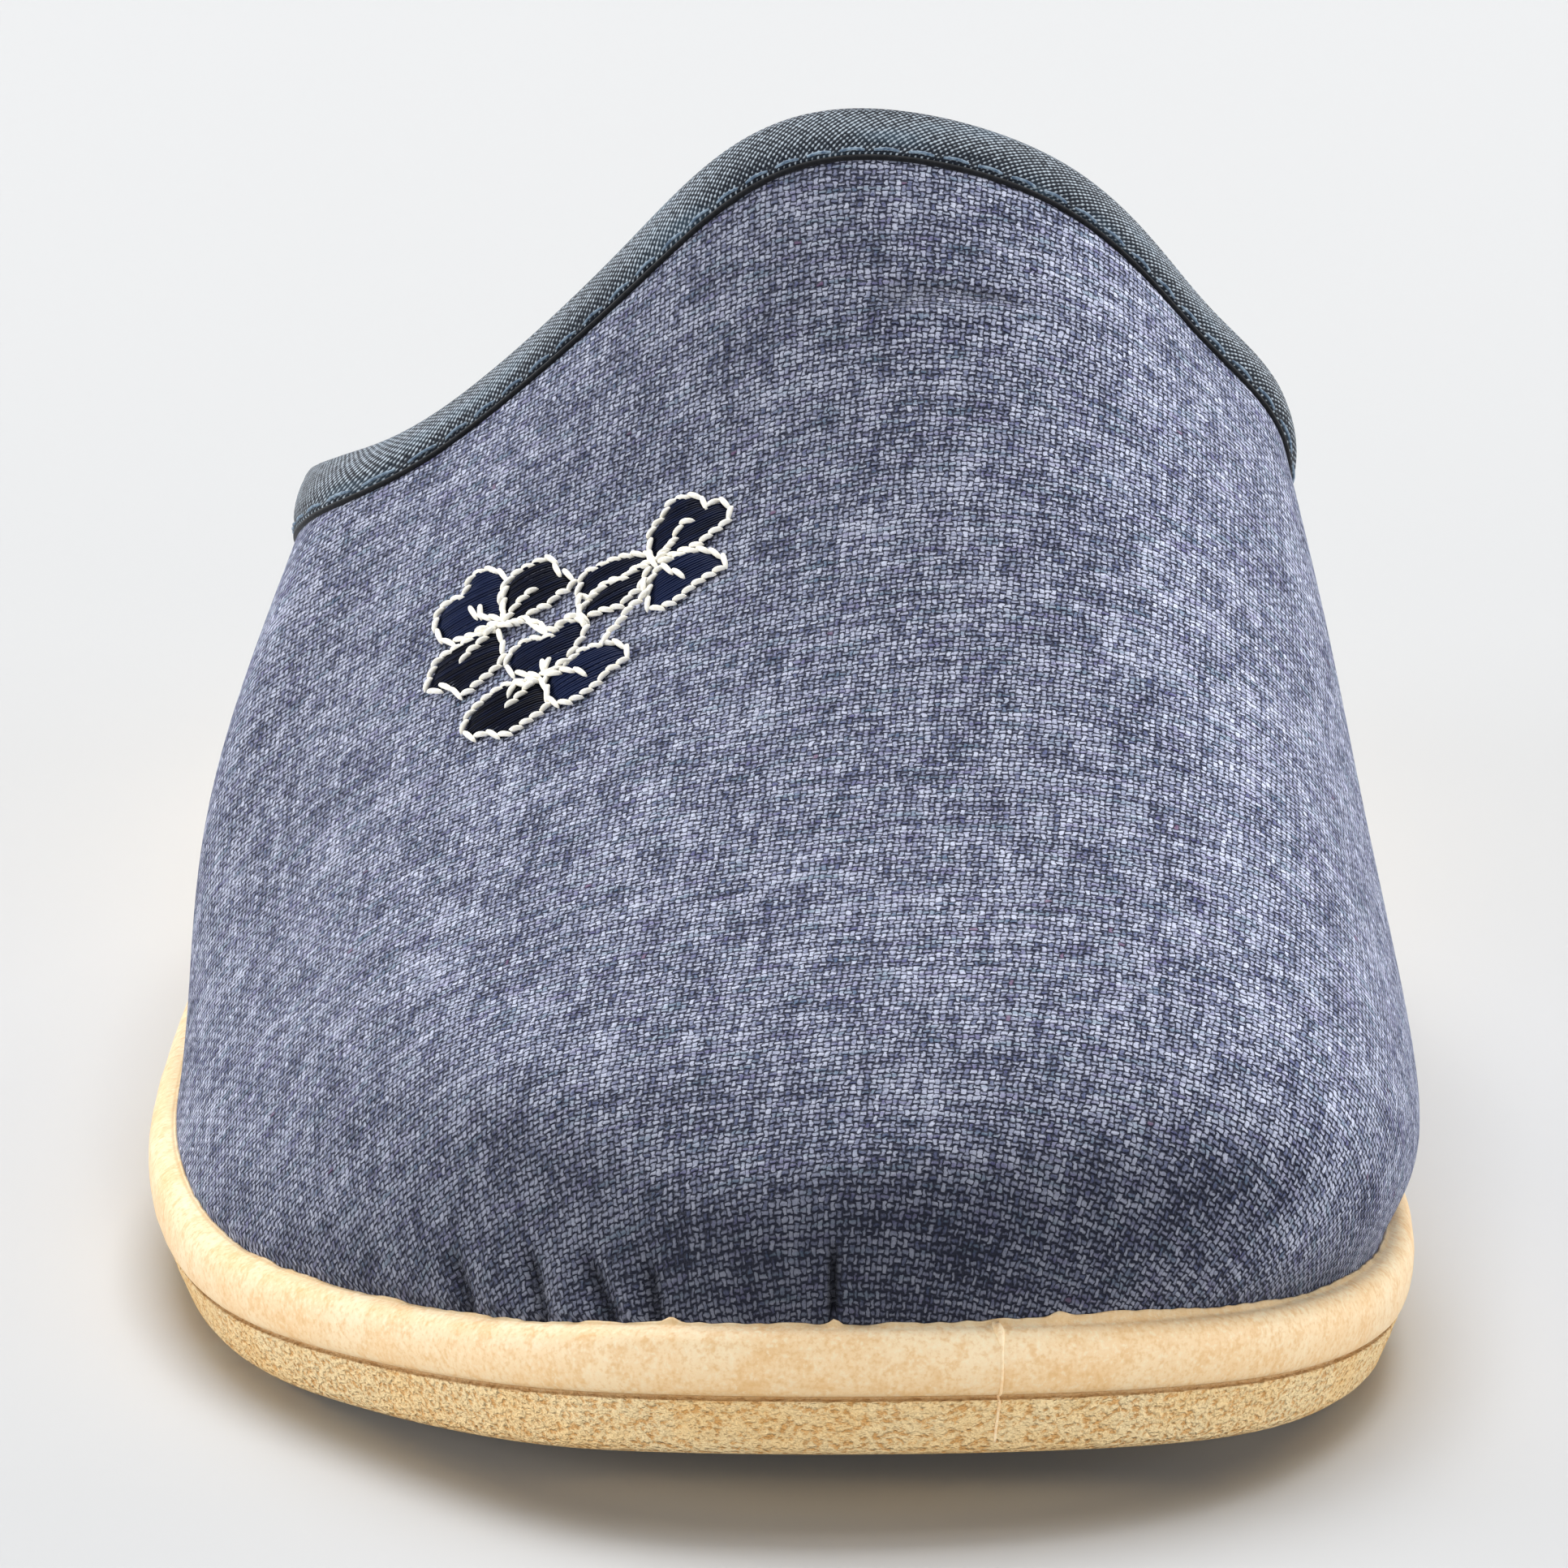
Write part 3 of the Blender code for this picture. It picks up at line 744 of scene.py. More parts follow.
def level_flat(flat, solid):
    """Turns and scales a flat layout to millimetres, with its middle line upright and nothing mirrored."""
    wide, flat_wide = [np.linalg.norm(np.diff(a, axis=1), axis=-1).sum() for a in (solid, flat[1:])]
    flat = flat * wide / flat_wide
    middle = flat.shape[1] // 2
    low, high = FLAT_ROWS // 2, FLAT_ROWS - 4
    up = unit(flat[high, middle] - flat[low, middle])
    across = np.array([up[1], -up[0]])
    if (flat[low, middle + 2] - flat[low, middle - 2]) @ across < 0:
        across = -across
    return (flat - flat[low, middle]) @ np.c_[across, up]


def refine(values, rows, columns):
    """Cubic refinement of a coarse grid of values to other row and column numbers."""
    high, wide, depth = values.shape
    tall = spline(np.arange(high), values.reshape(high, -1), rows).reshape(len(rows), wide, depth)
    turned = tall.transpose(1, 0, 2).reshape(wide, -1)
    fine = spline(np.arange(wide), turned, columns).reshape(len(columns), len(rows), depth)
    return fine.transpose(1, 0, 2)


def cloth_map(places):
    """Place of each point of the cloth on its flat layout, weft along x and warp along y."""
    coarse = np.r_[places[:-1:FLAT_STEP], places[-1]]
    rows = np.arange(CLOTH_ROWS + 1) * FLAT_ROWS / CLOTH_ROWS
    columns = np.interp(places, coarse, np.arange(len(coarse)))
    x, y = np.moveaxis(refine(lay_flat(coarse), rows, columns), -1, 0)
    lean = math.radians(WARP_LEAN)
    across = x * math.cos(lean) - y * math.sin(lean)
    along = x * math.sin(lean) + y * math.cos(lean)
    flat = np.dstack([across - along * WARP_SHEAR, along])
    feet = [flat[:, i] + FOOT_DEPTH * unit(flat[:, i] - flat[:, j]) for i, j in ((0, 2), (-1, -3))]
    return with_foot(flat, *feet).reshape(-1, 2)


def cloth_shades(place, back):
    """Painted shade of the toe's cloth, from how squarely it faces forward and how near the sole it lies,
    and how deep its folds are, for their painted shade: both from 0 to 1 on the grid.
    """
    face = upper_points(place.ravel(), back.ravel())
    facing = (-math.sin(TOE_SHADE_TURN), -math.cos(TOE_SHADE_TURN), 0.0)
    ahead = upper_normals(place.ravel(), back.ravel()) @ facing
    rise = face[:, 2] - feather_height(face[:, 1])
    low = FOOT_SHADE * np.exp(-rise / FOOT_SHADE_RISE) * smooth(*FOOT_SHADE_FADE, face[:, 1])
    shade = np.maximum(np.interp(ahead, *np.array(TOE_SHADE).T), low)
    fold = np.clip(crease_depth(face) / FOLD_FULL, 0, 1)
    return shade.reshape(back.shape), fold.reshape(back.shape)


def build_upper():
    """Outer cloth and lining, which together stand for the upper's wall."""
    places = upper_columns()
    place, back = cloth_grid(places, CLOTH_ROWS)
    shape = closed_shell(sheet_points(place, back, 0.0), sheet_points(place, back, CLOTH))
    cloth = make_piece("upper_cloth", shape, cloth_material())
    set_map(cloth, "weave", np.tile(cloth_map(places), (2, 1)))
    # painted shade of the toe and of the folds, read by the cloth's material
    for name, grid in zip(("painted_toe_shade", "fold"), cloth_shades(place, back)):
        set_attribute(cloth, name, np.tile(with_foot(grid, grid[:, 0], grid[:, -1]).ravel(), 2))
    place, back = place[::LINING_STEP, ::LINING_STEP], back[::LINING_STEP, ::LINING_STEP]
    shape = closed_shell(sheet_points(place, back, CLOTH + LINING_GAP), sheet_points(place, back, WALL))
    lining = make_piece("upper_lining", shape, lining_material())
    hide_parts("upper")
    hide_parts("upper")


# Sole

SOLE_STATIONS = 640
TREAD_EDGE = [  # up from the bottom, stand-out from the groove's line
    (0.0, -3.5), (0.06, -2.9), (0.3, -2.2), (0.7, -1.6), (1.2, -1.15),
]
TREAD_DROP = 0.4  # how far the tread's edge hangs down at the toe tip
TREAD_DROP_REACH = 30.0
BAND_RINGS = 15  # rings of faces in the pebbled band
BAND_TOP = (-0.34, 0.3)  # up from the groove, stand-out
PIT_DEPTH = 0.12
PIT_SCALE = 0.9  # dents in the band's outline, a millimetre
GROOVE = [  # up from the groove, stand-out
    (-0.24, 0.2), (-0.16, -0.05), (-0.02, -0.16), (0.1, -0.05), (0.17, 0.3),
]
FOXING = [  # up from the groove, stand-out
    (0.26, 0.5), (0.6, 0.78), (1.2, 1.0), (2.0, 1.15), (2.9, 1.2), (3.6, 1.16), (4.2, 1.02),
    (4.7, 0.78), (5.05, 0.46), (5.28, 0.12), (5.4, -0.22), (5.46, -0.5),
]
FOXING_TAN = 0.75  # how much the foxing darkens down to the groove
FOXING_WAVE = 0.05
FOXING_WAVES = 0.25  # a millimetre
OUTER_SQUAT = 0.09  # share by which the foxing is lower on the outer side of the toe
SQUAT_X = (-8, -24)  # it comes in over these stretches, outward and forward
SQUAT_BACK = (80, 40)
LIP = [  # share of the ragged lip's height, stand-out, how much painted shade it takes in the fillet at the cloth
    (0.25, -0.64, 0.8), (0.7, -0.72, 1.0), (1.0, -0.84, 0.0), (0.95, -1.0, 0.0),
]
LIP_LOW = 0.02
LIP_HIGH = 0.3
LIP_RANGE = (-0.5, 0.6)  # roughness over which it rises from low to high
LIP_WAVES = [  # size, waves a millimetre, seed
    (0.6, 0.2, 1), (0.45, 0.9, 2),
]
LIP_PEAKS = [  # x on the toe, half width, extra height
    (-8.9, 0.6, 0.4), (4.0, 0.45, 0.55), (21.6, 0.8, 0.4), (27.0, 13.0, 0.55),
]
TOE_BACK = 40.0  # the toe's peaks and parting line lie ahead of this
PARTING_X = 16.5  # mould parting line on the toe
PARTING_ROWS = slice(len(TREAD_EDGE), -3)  # rings that it crosses
PARTING_RADIUS = 0.12
NUB_RADIUS = 0.42  # nub of rubber near the top of the parting line
NUB_ROW = -5  # counted among those rings
NUB_HALF = 0.7


def wobble(points, scale, seed):
    """Smooth noise from -1 to 1 at each point."""
    shift = Vector((seed * 7.3, seed * 3.1, seed * 1.7))
    return np.array([noise.noise(Vector(p) * scale + shift) for p in points])


def lip_heights(ring):
    """Ragged height of the thin flash that the mould left on the cloth."""
    flat = np.c_[ring, np.zeros(len(ring))]
    rough = sum(size * wobble(flat, waves, seed) for size, waves, seed in LIP_WAVES)
    height = LIP_LOW + (LIP_HIGH - LIP_LOW) * smooth(*LIP_RANGE, rough)
    for x, half, rise in LIP_PEAKS:
        height += rise * np.exp(-((ring[:, 0] - x) / half) ** 2) * (ring[:, 1] < TOE_BACK)
    return height


def side_rows(ring):
    """Rings of the sole's side from tread to rim: height, stand-out, then band, groove and lip shares."""
    def row(height, out, band=0.0, groove=0.0, lip=0.0):
        return [np.broadcast_to(value, len(ring)) for value in (height, out, band, groove, lip)]

    x, back = ring.T
    low = bottom(back) - TREAD_DROP * np.clip(1 - back / TREAD_DROP_REACH, 0, None)
    top = feather_height(back)
    line = top - FOXING_HEIGHT
    rows = [row(low + up, out, band=1.0) for up, out in TREAD_EDGE]
    edge_up, edge_out = TREAD_EDGE[-1]
    start, end = low + edge_up, line + BAND_TOP[0]
    for i in range(1, BAND_RINGS + 1):
        share = i / BAND_RINGS
        height = start + (end - start) * share
        dent = PIT_DEPTH * math.sin(math.pi * share) * wobble(np.c_[ring, height], PIT_SCALE, seed=3)
        rows.append(row(height, edge_out + (BAND_TOP[1] - edge_out) * share - dent, band=1.0))
    # the groove's rings carry its painted shade
    rows += [row(line + up, out, band=0.5, groove=1.0) for up, out in GROOVE]
    soft = FOXING_WAVE * wobble(np.c_[ring, top], FOXING_WAVES, seed=5)
    squat = 1 - OUTER_SQUAT * smooth(*SQUAT_X, x) * smooth(*SQUAT_BACK, back)
    brim = FOXING[-1][0]
    rows += [row(line + up * squat, out + soft, groove=FOXING_TAN * (1 - up / brim)) for up, out in FOXING]
    lip = lip_heights(ring)
    rows += [row(line + brim * squat + lip * up, out, lip=fillet_shade) for up, out, fillet_shade in LIP]
    rows.append(row(top - RIM_DEPTH, LIP[-1][1]))
    return rows


def build_sole():
    """Rubber sole with the mould's fine raised parting line and nub down its toe."""
    ring = outline(SOLE_STATIONS, 0.0)
    rows = side_rows(ring)
    loops = [np.c_[outline(SOLE_STATIONS, out), height] for height, out, *_ in rows]
    around = len(ring)
    index = np.arange(len(rows) * around).reshape(len(rows), around)
    after = np.roll(index, -1, axis=1)
    sides = np.stack([index[1:], after[1:], after[:-1], index[:-1]], axis=-1).reshape(-1, 4)
    near = np.arange(1, SOLE_STATIONS - 1)
    far = around - near
    tips = [(0, 1, around - 1), (SOLE_STATIONS, SOLE_STATIONS + 1, SOLE_STATIONS - 1)]
    across = [*np.stack([near, near + 1, far - 1, far], axis=-1), *np.array(tips)]
    faces = [*sides, *[face[::-1] for face in across], *[face + index[-1, 0] for face in across]]
    rubber = sole_material()
    piece = make_piece("sole_rubber", (np.concatenate(loops), faces), rubber)
    for column, name in enumerate(("band", "groove", "lip"), 2):
        set_attribute(piece, name, np.concatenate([row[column] for row in rows]))
    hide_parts("sole")
    front = (ring[:, 1] < TOE_BACK) & (ring[:, 0] > 0)
    at = int(np.argmin(np.where(front, np.abs(ring[:, 0] - PARTING_X), np.inf)))
    path = np.array([loop[at] for loop in loops[PARTING_ROWS]])
    swell = np.exp(-((path[:, 2] - path[NUB_ROW, 2]) / NUB_HALF) ** 2)
    line = tubes([path], PARTING_RADIUS + (NUB_RADIUS - PARTING_RADIUS) * swell, CORD_SIDES)
    make_piece("sole_parting_line", line, rubber)


# Collar binding

BINDING_WIDTH = 5.2
BINDING_CLEAR = 0.6
BINDING_LEAST = 0.05  # least share of its width where there is no room
BINDING_COLUMNS = 420
COLLAR_SPAN = (0.006, 0.994)  # places across where the tape starts and ends
COLLAR_STEPS = 2000  # for measuring its length
TOPLINE_STEP = 1e-4
LEAF_LIFT = [  # distance from the fold, lift off the cloth
    (0.3, 1.06), (0.9, 1.12), (1.6, 1.12), (2.3, 1.06), (2.9, 0.94), (3.35, 0.8), (3.7, 0.62),
    (4.0, 0.48), (4.25, 0.44), (4.42, 0.34), (4.5, 0.1),
]
LEAF_BACK = 0.06
FOLD_OUT = 1.55  # how far the fold stands beyond the upper's edge
FOLD_INSIDE = 0.3  # and its inner face
FOLD_ROWS = 10
STITCH_LINE = 4.14  # from the fold
STITCH_LIFT = 0.46
STITCH_ARCH = 0.16
STITCH_SINK = 0.04  # how far its two ends go in
STITCH_POINTS = 7
STITCH_START = 3.0
STITCH_PITCH = 2.9
STITCH_LENGTH = 2.1
STITCH_RADIUS = 0.13
# a dark cord under the tape's edge stands for the shadow that the edge casts on the cloth
EDGE_LINE = 4.66
EDGE_LIFT = 0.08
EDGE_RADIUS = 0.27


class Collar:
    """Even columns along the topline, and the way from each across the tape, away from its fold."""

    def __init__(self):
        places = np.linspace(*COLLAR_SPAN, COLLAR_STEPS)
        run = run_along(upper_points(places, topline(places)))
        self.run = np.linspace(0, run[-1], BINDING_COLUMNS)
        self.places = np.interp(self.run, run, places)
        self.ends = topline(self.places)
        across, along = upper_slopes(self.places, self.ends)
        behind, ahead = topline(self.places + TOPLINE_STEP), topline(self.places - TOPLINE_STEP)
        edge = across + along * ((behind - ahead) / (2 * TOPLINE_STEP))[:, None]
        self.normal = unit(np.cross(across, along))
        down = unit(np.cross(self.normal, edge))
        self.down = down * -np.sign(np.sum(down * along, axis=1))[:, None]
        grid = np.stack([across, along], axis=-1)
        square = np.einsum("nik,nil->nkl", grid, grid)
        steps = np.linalg.solve(square, np.einsum("nik,ni->nk", grid, self.down)[..., None])[..., 0]
        room = np.where(steps[:, 0] < 0, self.places, 1 - self.places)
        reach = room / np.maximum(np.abs(steps[:, 0]), 1e-9)
        fits = np.clip((reach - BINDING_CLEAR) / BINDING_WIDTH, BINDING_LEAST, 1)
        self.steps = steps * fits[:, None]

    def points(self, distance, lift):
        """Points at a distance across the tape and a lift off the cloth, one a column."""
        place = np.clip(self.places + self.steps[:, 0] * distance, 0, 1)
        back = self.ends + self.steps[:, 1] * distance
        return upper_points(place, back) + upper_normals(place, back) * lift


def build_binding():
    """Tape folded over the upper's edge, from its outer leaf over the fold to its inner leaf."""
    collar = Collar()
    middle = upper_points(collar.places, collar.ends) - collar.normal * WALL / 2
    high = WALL / 2 + LEAF_LIFT[0][1]
    front, behind, width = [], [], []
    for distance, lift in LEAF_LIFT[::-1]:
        front.append(collar.points(distance, lift))
        behind.append(collar.points(distance, LEAF_BACK))
        width.append(-distance)
    folds = ((front, high, FOLD_OUT), (behind, WALL / 2 + LEAF_BACK, FOLD_INSIDE))
    for angle in np.linspace(0, math.pi, FOLD_ROWS + 1):
        for face, radius, out in folds:
            turned = collar.normal * radius * math.cos(angle) - collar.down * out * math.sin(angle)
            face.append(middle + turned)
        width.append(high * angle)
    for distance, lift in LEAF_LIFT:
        front.append(collar.points(distance, -WALL - lift))
        behind.append(collar.points(distance, -WALL - LEAF_BACK))
        width.append(high * math.pi + distance)
    points, faces = closed_shell(np.array(front), np.array(behind))
    tape = make_piece("collar_tape", (points, faces[:, ::-1]), binding_material())
    flat = np.dstack(np.meshgrid(collar.run, width)).reshape(-1, 2)
    set_map(tape, "tape", np.tile(flat, (2, 1)))
    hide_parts("collar_binding")
    build_collar_threads(collar)


def build_collar_threads(collar):
    """Blue stitches along the tape, and a near-black cord under its edge that stands for the shadow the
    tape casts there.
    """
    line = collar.points(STITCH_LINE, STITCH_LIFT)
    share = np.linspace(0, 1, STITCH_POINTS)
    arch = STITCH_ARCH * np.sin(math.pi * share) - STITCH_SINK
    starts = np.arange(STITCH_START, collar.run[-1] - STITCH_START, STITCH_PITCH)
    where = starts[:, None] + STITCH_LENGTH * share
    paths = at_run(where, collar.run, line) + at_run(where, collar.run, collar.normal) * arch[:, None]
    blue = thread_material("stitch_thread", (66, 90, 116), (146, 166, 184), 0.6)
    make_piece("collar_stitches", tubes(paths, STITCH_RADIUS, FINE_SIDES), blue)
    # near-black thread as painted shadow under the tape's edge
    dark = thread_material("edge_shadow_cord", (8, 9, 13), (22, 24, 30), 0.95)
    cord = tubes([collar.points(EDGE_LINE, EDGE_LIFT)], EDGE_RADIUS, CORD_SIDES)
    make_piece("collar_edge_shadow_cord", cord, dark)


# Insole

INSOLE_THICK = 4.5
INSOLE_GAP = 1.0
INSOLE_ROUND = 1.6  # radius of its top edge
INSOLE_CROWN = 0.5
INSOLE_CROWN_REACH = 22.0
INSOLE_CLEAR = 0.02
INSOLE_STATIONS = 120
INSOLE_ACROSS = 24
WIDEN = (191.0, 201.0)  # behind the upper's wings it opens out over this stretch


def build_insole():
    """Cloth-covered footbed that fills the tray inside the upper and opens out behind its wings."""
    wide = smooth(*WIDEN, outline(INSOLE_STATIONS, 0.0)[:, 1])
    tight = FEATHER_INSET + WALL + INSOLE_GAP
    loose = FEATHER_INSET + INSOLE_GAP / 2
    ring = outline(INSOLE_STATIONS, -(tight + (loose - tight) * wide))
    near = np.arange(INSOLE_STATIONS + 1)
    left, right = ring[near], ring[-near]
    share = (1 - np.cos(np.linspace(0, math.pi, INSOLE_ACROSS + 1))) / 2
    grid = left[:, None] + (right - left)[:, None] * share[None, :, None]
    back = grid[..., 1]
    floor = feather_height(back) - RIM_DEPTH
    half = np.linalg.norm(right - left, axis=1)[:, None] / 2
    aside = half * (1 - np.abs(2 * share - 1))
    inset = np.minimum(aside, np.minimum(back - ring[:, 1].min(), ring[:, 1].max() - back))
    edge = np.sqrt(1 - (1 - np.clip(inset / INSOLE_ROUND, 0, 1)) ** 2)
    crown = smooth(0.0, INSOLE_CROWN_REACH, inset)
    top = floor + INSOLE_THICK - INSOLE_ROUND * (1 - edge) - INSOLE_CROWN * (1 - crown)
    shape = closed_shell(np.dstack([grid, top]), np.dstack([grid, floor + INSOLE_CLEAR]))
    bed = make_piece("insole_bed", shape, insole_material())
    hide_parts("insole")


# Camera, from the photograph's view

VIEW_ELEVATION = math.radians(15.0)
VIEW_DISTANCE = 4000.0
VIEW_WIDTH = 120.75  # millimetres across the picture at the aim point
AIM = np.array([0.06, 14.98, 55.9])  # x, back, z
SENSOR = 36.0
CLIP_END = 100.0  # metres


def picture_places(points):
    """Where points show in the photograph's view, in millimetres right of and above its middle."""
    x, back, z = (points - AIM).T
    far = back * math.cos(VIEW_ELEVATION) - z * math.sin(VIEW_ELEVATION)
    high = z * math.cos(VIEW_ELEVATION) + back * math.sin(VIEW_ELEVATION)
    return np.c_[x, high] * (VIEW_DISTANCE / (VIEW_DISTANCE + far))[:, None]


def aimed_object(name, data, place, aim):
    """Camera or lamp at a place, looking at another, both in metres."""
    made = new_object(name, data)
    made.location = place
    made.rotation_euler = (Vector(aim) - Vector(place)).to_track_quat("-Z", "Y").to_euler()
    return made


def build_camera():
    data = bpy.data.cameras.new("camera")
    data.sensor_width = SENSOR
    data.lens = SENSOR * VIEW_DISTANCE / VIEW_WIDTH
    data.clip_end = CLIP_END
    away = np.array([0.0, -math.cos(VIEW_ELEVATION), math.sin(VIEW_ELEVATION)])
    place = metres(AIM + away * VIEW_DISTANCE)
    bpy.context.scene.camera = aimed_object("camera", data, place, metres(AIM))


# Embroidery

CHART_SCALE = 58.34  # chart units a millimetre of the picture
CHART_CENTRE = (625.0, 900.0)
CHART_PLACE = (-18.41, 8.08)  # where that is, right of and above the picture's middle
MOTIF_PLACES = np.linspace(0.16, 0.52, 70)  # stretch of the upper round the motif
MOTIF_GRID_ROWS = 90
MOTIF_ROWS = slice(48, 84)
MOTIF_MIDDLE = (-16.41, 10.08)
MOTIF_HALF = 15.0
MOTIF_UNIT = 10.0  # millimetres, which keeps the fit's terms small
MOTIF_DEGREE = 4
PETALS = [  # name, how much painted sheen its floss shows, outline charted from the flower's heart round the petal
    ("left_up", 0.7, [
        (425, 670), (446, 600), (436, 540), (458, 480), (435, 440), (385, 424), (335, 440), (295, 480),
        (277, 530), (235, 555), (180, 590), (146, 655), (160, 720), (205, 750), (260, 735), (335, 712)]),
    ("left_right", 0.05, [
        (455, 660), (448, 560), (458, 505), (480, 465), (525, 428), (580, 400), (635, 376), (675, 388),
        (686, 422), (730, 440), (755, 470), (740, 505), (690, 535), (650, 575), (590, 605), (540, 640)]),
    ("left_down", 0.1, [
        (410, 700), (330, 722), (250, 768), (180, 810), (140, 850), (120, 900), (106, 950), (135, 970),
        (175, 950), (215, 965), (260, 985), (310, 950), (350, 915), (405, 870), (440, 820), (440, 760)]),
    ("near_up", 0.35, [
        (610, 895), (540, 890), (476, 880), (464, 830), (490, 788), (545, 745), (600, 730), (650, 722),
        (690, 690), (740, 655), (795, 650), (815, 680), (800, 720), (775, 760), (748, 800), (735, 840),
        (690, 865)]),
    ("near_right", 0.95, [
        (650, 890), (740, 832), (790, 790), (850, 765), (920, 747), (970, 755), (1003, 790), (970, 840),
        (910, 880), (880, 920), (830, 960), (770, 1000), (700, 1020), (652, 1000), (640, 950)]),
    ("near_down", 0.0, [
        (600, 920), (500, 930), (440, 950), (380, 990), (312, 1050), (282, 1090), (266, 1140), (290, 1170),
        (330, 1170), (370, 1156), (420, 1165), (480, 1150), (540, 1110), (600, 1070), (640, 1030),
        (640, 975)]),
    ("far_up", 0.25, [
        (1130, 375), (1105, 320), (1105, 270), (1130, 220), (1165, 180), (1190, 130), (1240, 102),
        (1310, 90), (1345, 118), (1370, 136), (1402, 112), (1450, 130), (1460, 180), (1425, 225),
        (1370, 265), (1330, 300), (1260, 332)]),
    ("far_right", 0.8, [
        (1165, 400), (1230, 360), (1300, 335), (1380, 342), (1440, 387), (1400, 430), (1345, 462),
        (1290, 500), (1240, 545), (1180, 580), (1120, 595), (1095, 570), (1100, 510), (1115, 455)]),
    ("far_left", 0.15, [
        (1115, 375), (1070, 350), (990, 360), (920, 385), (860, 415), (812, 440), (790, 490), (787, 532),
        (830, 540), (880, 502), (930, 470), (990, 452), (1040, 415)]),
    ("far_low", 0.2, [
        (1095, 405), (1040, 420), (985, 460), (930, 478), (880, 510), (835, 550), (806, 590), (802, 632),
        (850, 620), (900, 600), (970, 580), (1010, 540), (1052, 508), (1080, 455)]),
]
STAMENS = [  # charted: single lines of thread
    [(440, 655), (380, 648), (335, 640), (300, 606)],
    [(345, 645), (352, 628), (340, 600)],
    [(455, 670), (490, 622), (530, 572), (595, 514)],
    [(405, 690), (350, 758), (300, 802), (265, 852)],
    [(640, 890), (648, 850), (645, 818)],
    [(640, 890), (626, 858), (620, 836)],
    [(650, 910), (700, 890), (760, 882), (822, 897)],
    [(600, 920), (560, 945), (502, 952), (482, 1000)],
    [(580, 935), (535, 985), (466, 1050)],
    [(1150, 372), (1192, 330), (1220, 290), (1250, 232), (1302, 205)],
    [(1140, 395), (1180, 345), (1212, 305)],
    [(1160, 410), (1200, 432), (1262, 457)],
    [(1075, 470), (1085, 520), (1070, 560), (1020, 600), (985, 650), (950, 690), (915, 730), (912, 762)],
    [(430, 690), (500, 670), (560, 660), (590, 690), (650, 702), (700, 680), (750, 642), (792, 640),
     (815, 680)],
    [(560, 680), (600, 668), (650, 712)],
    [(790, 540), (792, 600), (800, 640)],
    [(640, 910), (690, 866), (742, 828)],
    [(330, 716), (380, 690), (440, 672)],
    [(1100, 372), (1140, 400), (1200, 372)],
]
FAIR_STEPS = 40  # points of a smooth line for each charted one
SATIN_PITCH = 0.17  # millimetres of the picture between satin threads
SATIN_RADIUS = 0.105
SATIN_SLANT = math.radians(-27.0)
SATIN_LIFT = 0.42
SATIN_SINK = 0.05
SATIN_POINTS = 9
SATIN_UNEVEN = (0.9, 1.1)  # range of the threads' share of the lift
STRAND_SPREAD = 0.35  # how far the painted sheen differs between the threads of a petal
ROPE_PITCH = 0.94
ROPE_LENGTH = 1.24
ROPE_NEAR = 4.0  # chart units each way over which a line's way is taken
ROPE_RADIUS = 0.24
ROPE_ENDS = 0.2  # share of it at a stitch's two ends
ROPE_TWIST = math.radians(15.0)
ROPE_LIFT = 0.18
ROPE_ARCH = 0.2
STAMEN_LIFT = 0.42


def curve_terms(spots):
    """Terms of a surface of the fourth degree over the spots about the motif."""
    x, y = (spots - CHART_PLACE).T / MOTIF_UNIT
    powers = [(i, j) for i in range(MOTIF_DEGREE + 1) for j in range(MOTIF_DEGREE + 1 - i)]
    return np.stack([x ** i * y ** j for i, j in powers], axis=1)


def motif_fit():
    """Place and back on the upper for each spot of the picture near the motif."""
    grid = [part[MOTIF_ROWS].ravel() for part in cloth_grid(MOTIF_PLACES, MOTIF_GRID_ROWS)]
    spots = picture_places(upper_points(*grid))
    close = np.abs(spots - MOTIF_MIDDLE).max(axis=1) < MOTIF_HALF
    return np.linalg.lstsq(curve_terms(spots[close]), np.stack(grid, axis=1)[close], rcond=None)[0]


MOTIF = motif_fit()


def on_cloth(chart, lift):
    """Points of the chart laid on the upper with a lift off it."""
    spots = (chart.reshape(-1, 2) - CHART_CENTRE) * (1, -1) / CHART_SCALE + CHART_PLACE
    place, back = (curve_terms(spots) @ MOTIF).T
    rise = np.broadcast_to(lift, chart.shape[:-1]).reshape(-1, 1)
    points = upper_points(place, back) + upper_normals(place, back) * rise
    return points.reshape(*chart.shape[:-1], 3)


def fair_line(points, closed):
    """Smooth line through charted points and its length up to each point, in chart units."""
    line = np.array(points, float)
    first, last = 0, len(line) - 1
    if closed:
        line = np.concatenate([line[-3:], line, line[:4]])
        first, last = 3, len(line) - 4
    dense = spline(np.arange(len(line)), line, np.linspace(first, last, FAIR_STEPS * len(points)))
    return dense, run_along(dense)


def satin_threads(border):
    """Slanting threads across a closed border: (threads, points, 2) in chart units."""
    way = np.array([math.cos(SATIN_SLANT), math.sin(SATIN_SLANT)])
    side = np.array([-way[1], way[0]])
    along, across = border @ way, border @ side
    threads = []
    step = SATIN_PITCH * CHART_SCALE
    for level in np.arange(across.min() + step / 2, across.max(), step):
        turns = np.nonzero((across[:-1] < level) != (across[1:] < level))[0]
        share = (level - across[turns]) / (across[turns + 1] - across[turns])
        ends = np.sort(along[turns] + share * (along[turns + 1] - along[turns]))
        for start, end in zip(ends[::2], ends[1::2]):
            threads.append(np.linspace(start, end, SATIN_POINTS)[:, None] * way + level * side)
    return np.array(threads)


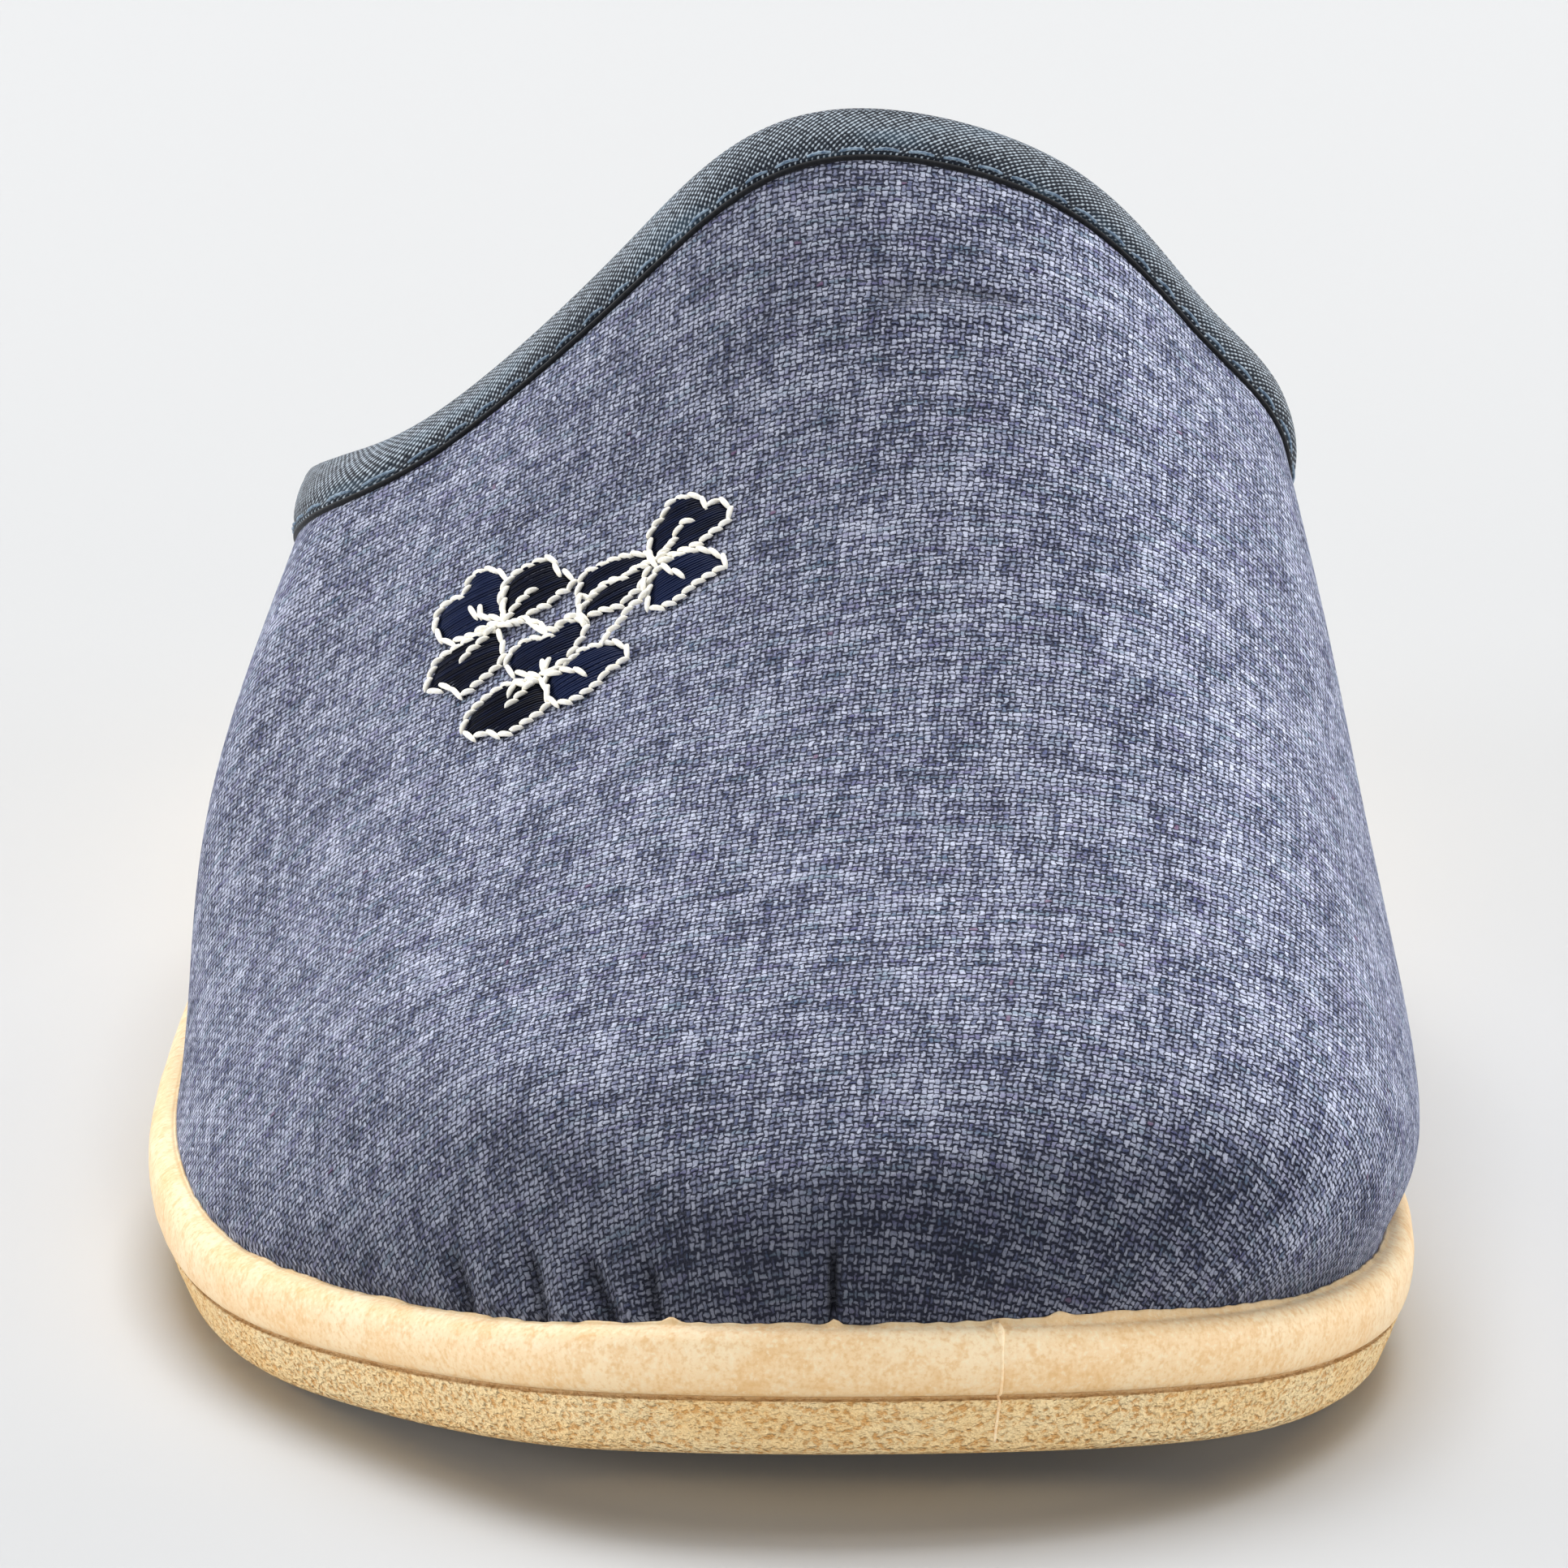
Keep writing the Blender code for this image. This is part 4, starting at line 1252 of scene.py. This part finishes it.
def rope_stitches(dense, run):
    """Short stitches that lie slightly askew along a line: (stitches, points, 2) in chart units."""
    count = max(1, round(run[-1] / (ROPE_PITCH * CHART_SCALE)))
    middle = (np.arange(count) + 0.5) * run[-1] / count
    near = at_run(middle + ROPE_NEAR, run, dense) - at_run(middle - ROPE_NEAR, run, dense)
    cos, sin = math.cos(ROPE_TWIST), math.sin(ROPE_TWIST)
    way = unit(near) @ np.array([[cos, sin], [-sin, cos]])
    reach = ROPE_LENGTH * CHART_SCALE * np.linspace(-0.5, 0.5, STITCH_POINTS)
    return at_run(middle, run, dense)[:, None] + way[:, None] * reach[None, :, None]


def build_embroidery():
    """Navy satin petals with an off-white rope outline, sewn on the upper's outer side."""
    borders = [fair_line(points, True) for _, _, points in PETALS]
    petals = [satin_threads(dense) for dense, _ in borders]
    satin = np.concatenate(petals)
    arch = np.sqrt(1 - np.linspace(-1, 1, SATIN_POINTS) ** 2)
    uneven = np.random.default_rng(5).uniform(*SATIN_UNEVEN, (len(satin), 1))
    paths = on_cloth(satin, SATIN_LIFT * arch * uneven - SATIN_SINK)
    threads = tubes(paths, SATIN_RADIUS, FINE_SIDES)
    piece = make_piece("embroidery_satin", threads, satin_material())
    # painted sheen for each petal, spread a little from thread to thread
    strand = np.repeat([blue for _, blue, _ in PETALS], [len(petal) for petal in petals])
    strand = strand + np.random.default_rng(6).uniform(0, STRAND_SPREAD, len(satin))
    set_attribute(piece, "strand", np.repeat(strand, SATIN_POINTS * FINE_SIDES))
    bend = 1 - np.linspace(-1, 1, STITCH_POINTS) ** 2
    paths = []
    stamens = [fair_line(points, False) for points in STAMENS]
    for lines, lift in ((borders, ROPE_LIFT), (stamens, STAMEN_LIFT)):
        rope = np.concatenate([rope_stitches(*line) for line in lines])
        paths.append(on_cloth(rope, lift + ROPE_ARCH * bend))
    radius = ROPE_RADIUS * (ROPE_ENDS + (1 - ROPE_ENDS) * np.sqrt(bend))
    rope = tubes(np.concatenate(paths), radius, CORD_SIDES)
    white = thread_material("rope_thread", (250, 245, 230), (255, 254, 248), 0.7)
    make_piece("embroidery_rope", rope, white)


# Light and floor, in metres

LIGHTS = [  # name, place, width, height, watts
    ("overhead", (0.0, 0.4, 3.2), 2.4, 2.4, 34.0),
    ("behind_top", (0.0, 1.3, 2.8), 2.2, 2.2, 70.0),
    ("behind_wide", (0.0, 2.4, 3.2), 4.8, 2.0, 66.0),
    ("left_front_low", (-1.2, -1.2, 0.12), 1.0, 0.2, 10.0),
    ("right_front_low", (1.2, -1.2, 0.12), 1.0, 0.2, 11.0),
    ("left_low", (-1.5, 0.1, 0.22), 1.0, 0.4, 11.0),
    ("right_low", (1.5, 0.1, 0.22), 1.0, 0.4, 7.5),
]
LIGHT_AIM = (0.0, -0.03, 0.03)
BACKDROP_STRENGTH = 0.1
FLOOR_HALF = 12.0


def build_light():
    for name, place, width, height, watts in LIGHTS:
        data = bpy.data.lights.new(name, "AREA")
        data.shape = "RECTANGLE"
        data.size = width
        data.size_y = height
        data.energy = watts
        aimed_object(name, data, place, LIGHT_AIM).visible_camera = False
    world = bpy.data.worlds.new("studio")
    world.use_nodes = True
    backdrop = world.node_tree.nodes["Background"]
    backdrop.inputs["Color"].default_value = linear(240, 241, 243)
    backdrop.inputs["Strength"].default_value = BACKDROP_STRENGTH
    bpy.context.scene.world = world
    bpy.context.scene.view_settings.view_transform = "Standard"


def build_floor():
    corners = np.array([(-1, -1, 0), (1, -1, 0), (1, 1, 0), (-1, 1, 0)]) * FLOOR_HALF
    mesh = new_mesh("floor", corners, [(0, 1, 2, 3)])
    mesh.materials.append(Tree("floor_paper").finish(linear(204, 205, 206), 0.8, Specular_IOR_Level=0.2))
    floor = new_object("floor", mesh)


build_camera()
build_light()
build_floor()
build_upper()
build_sole()
build_binding()
build_insole()
build_embroidery()
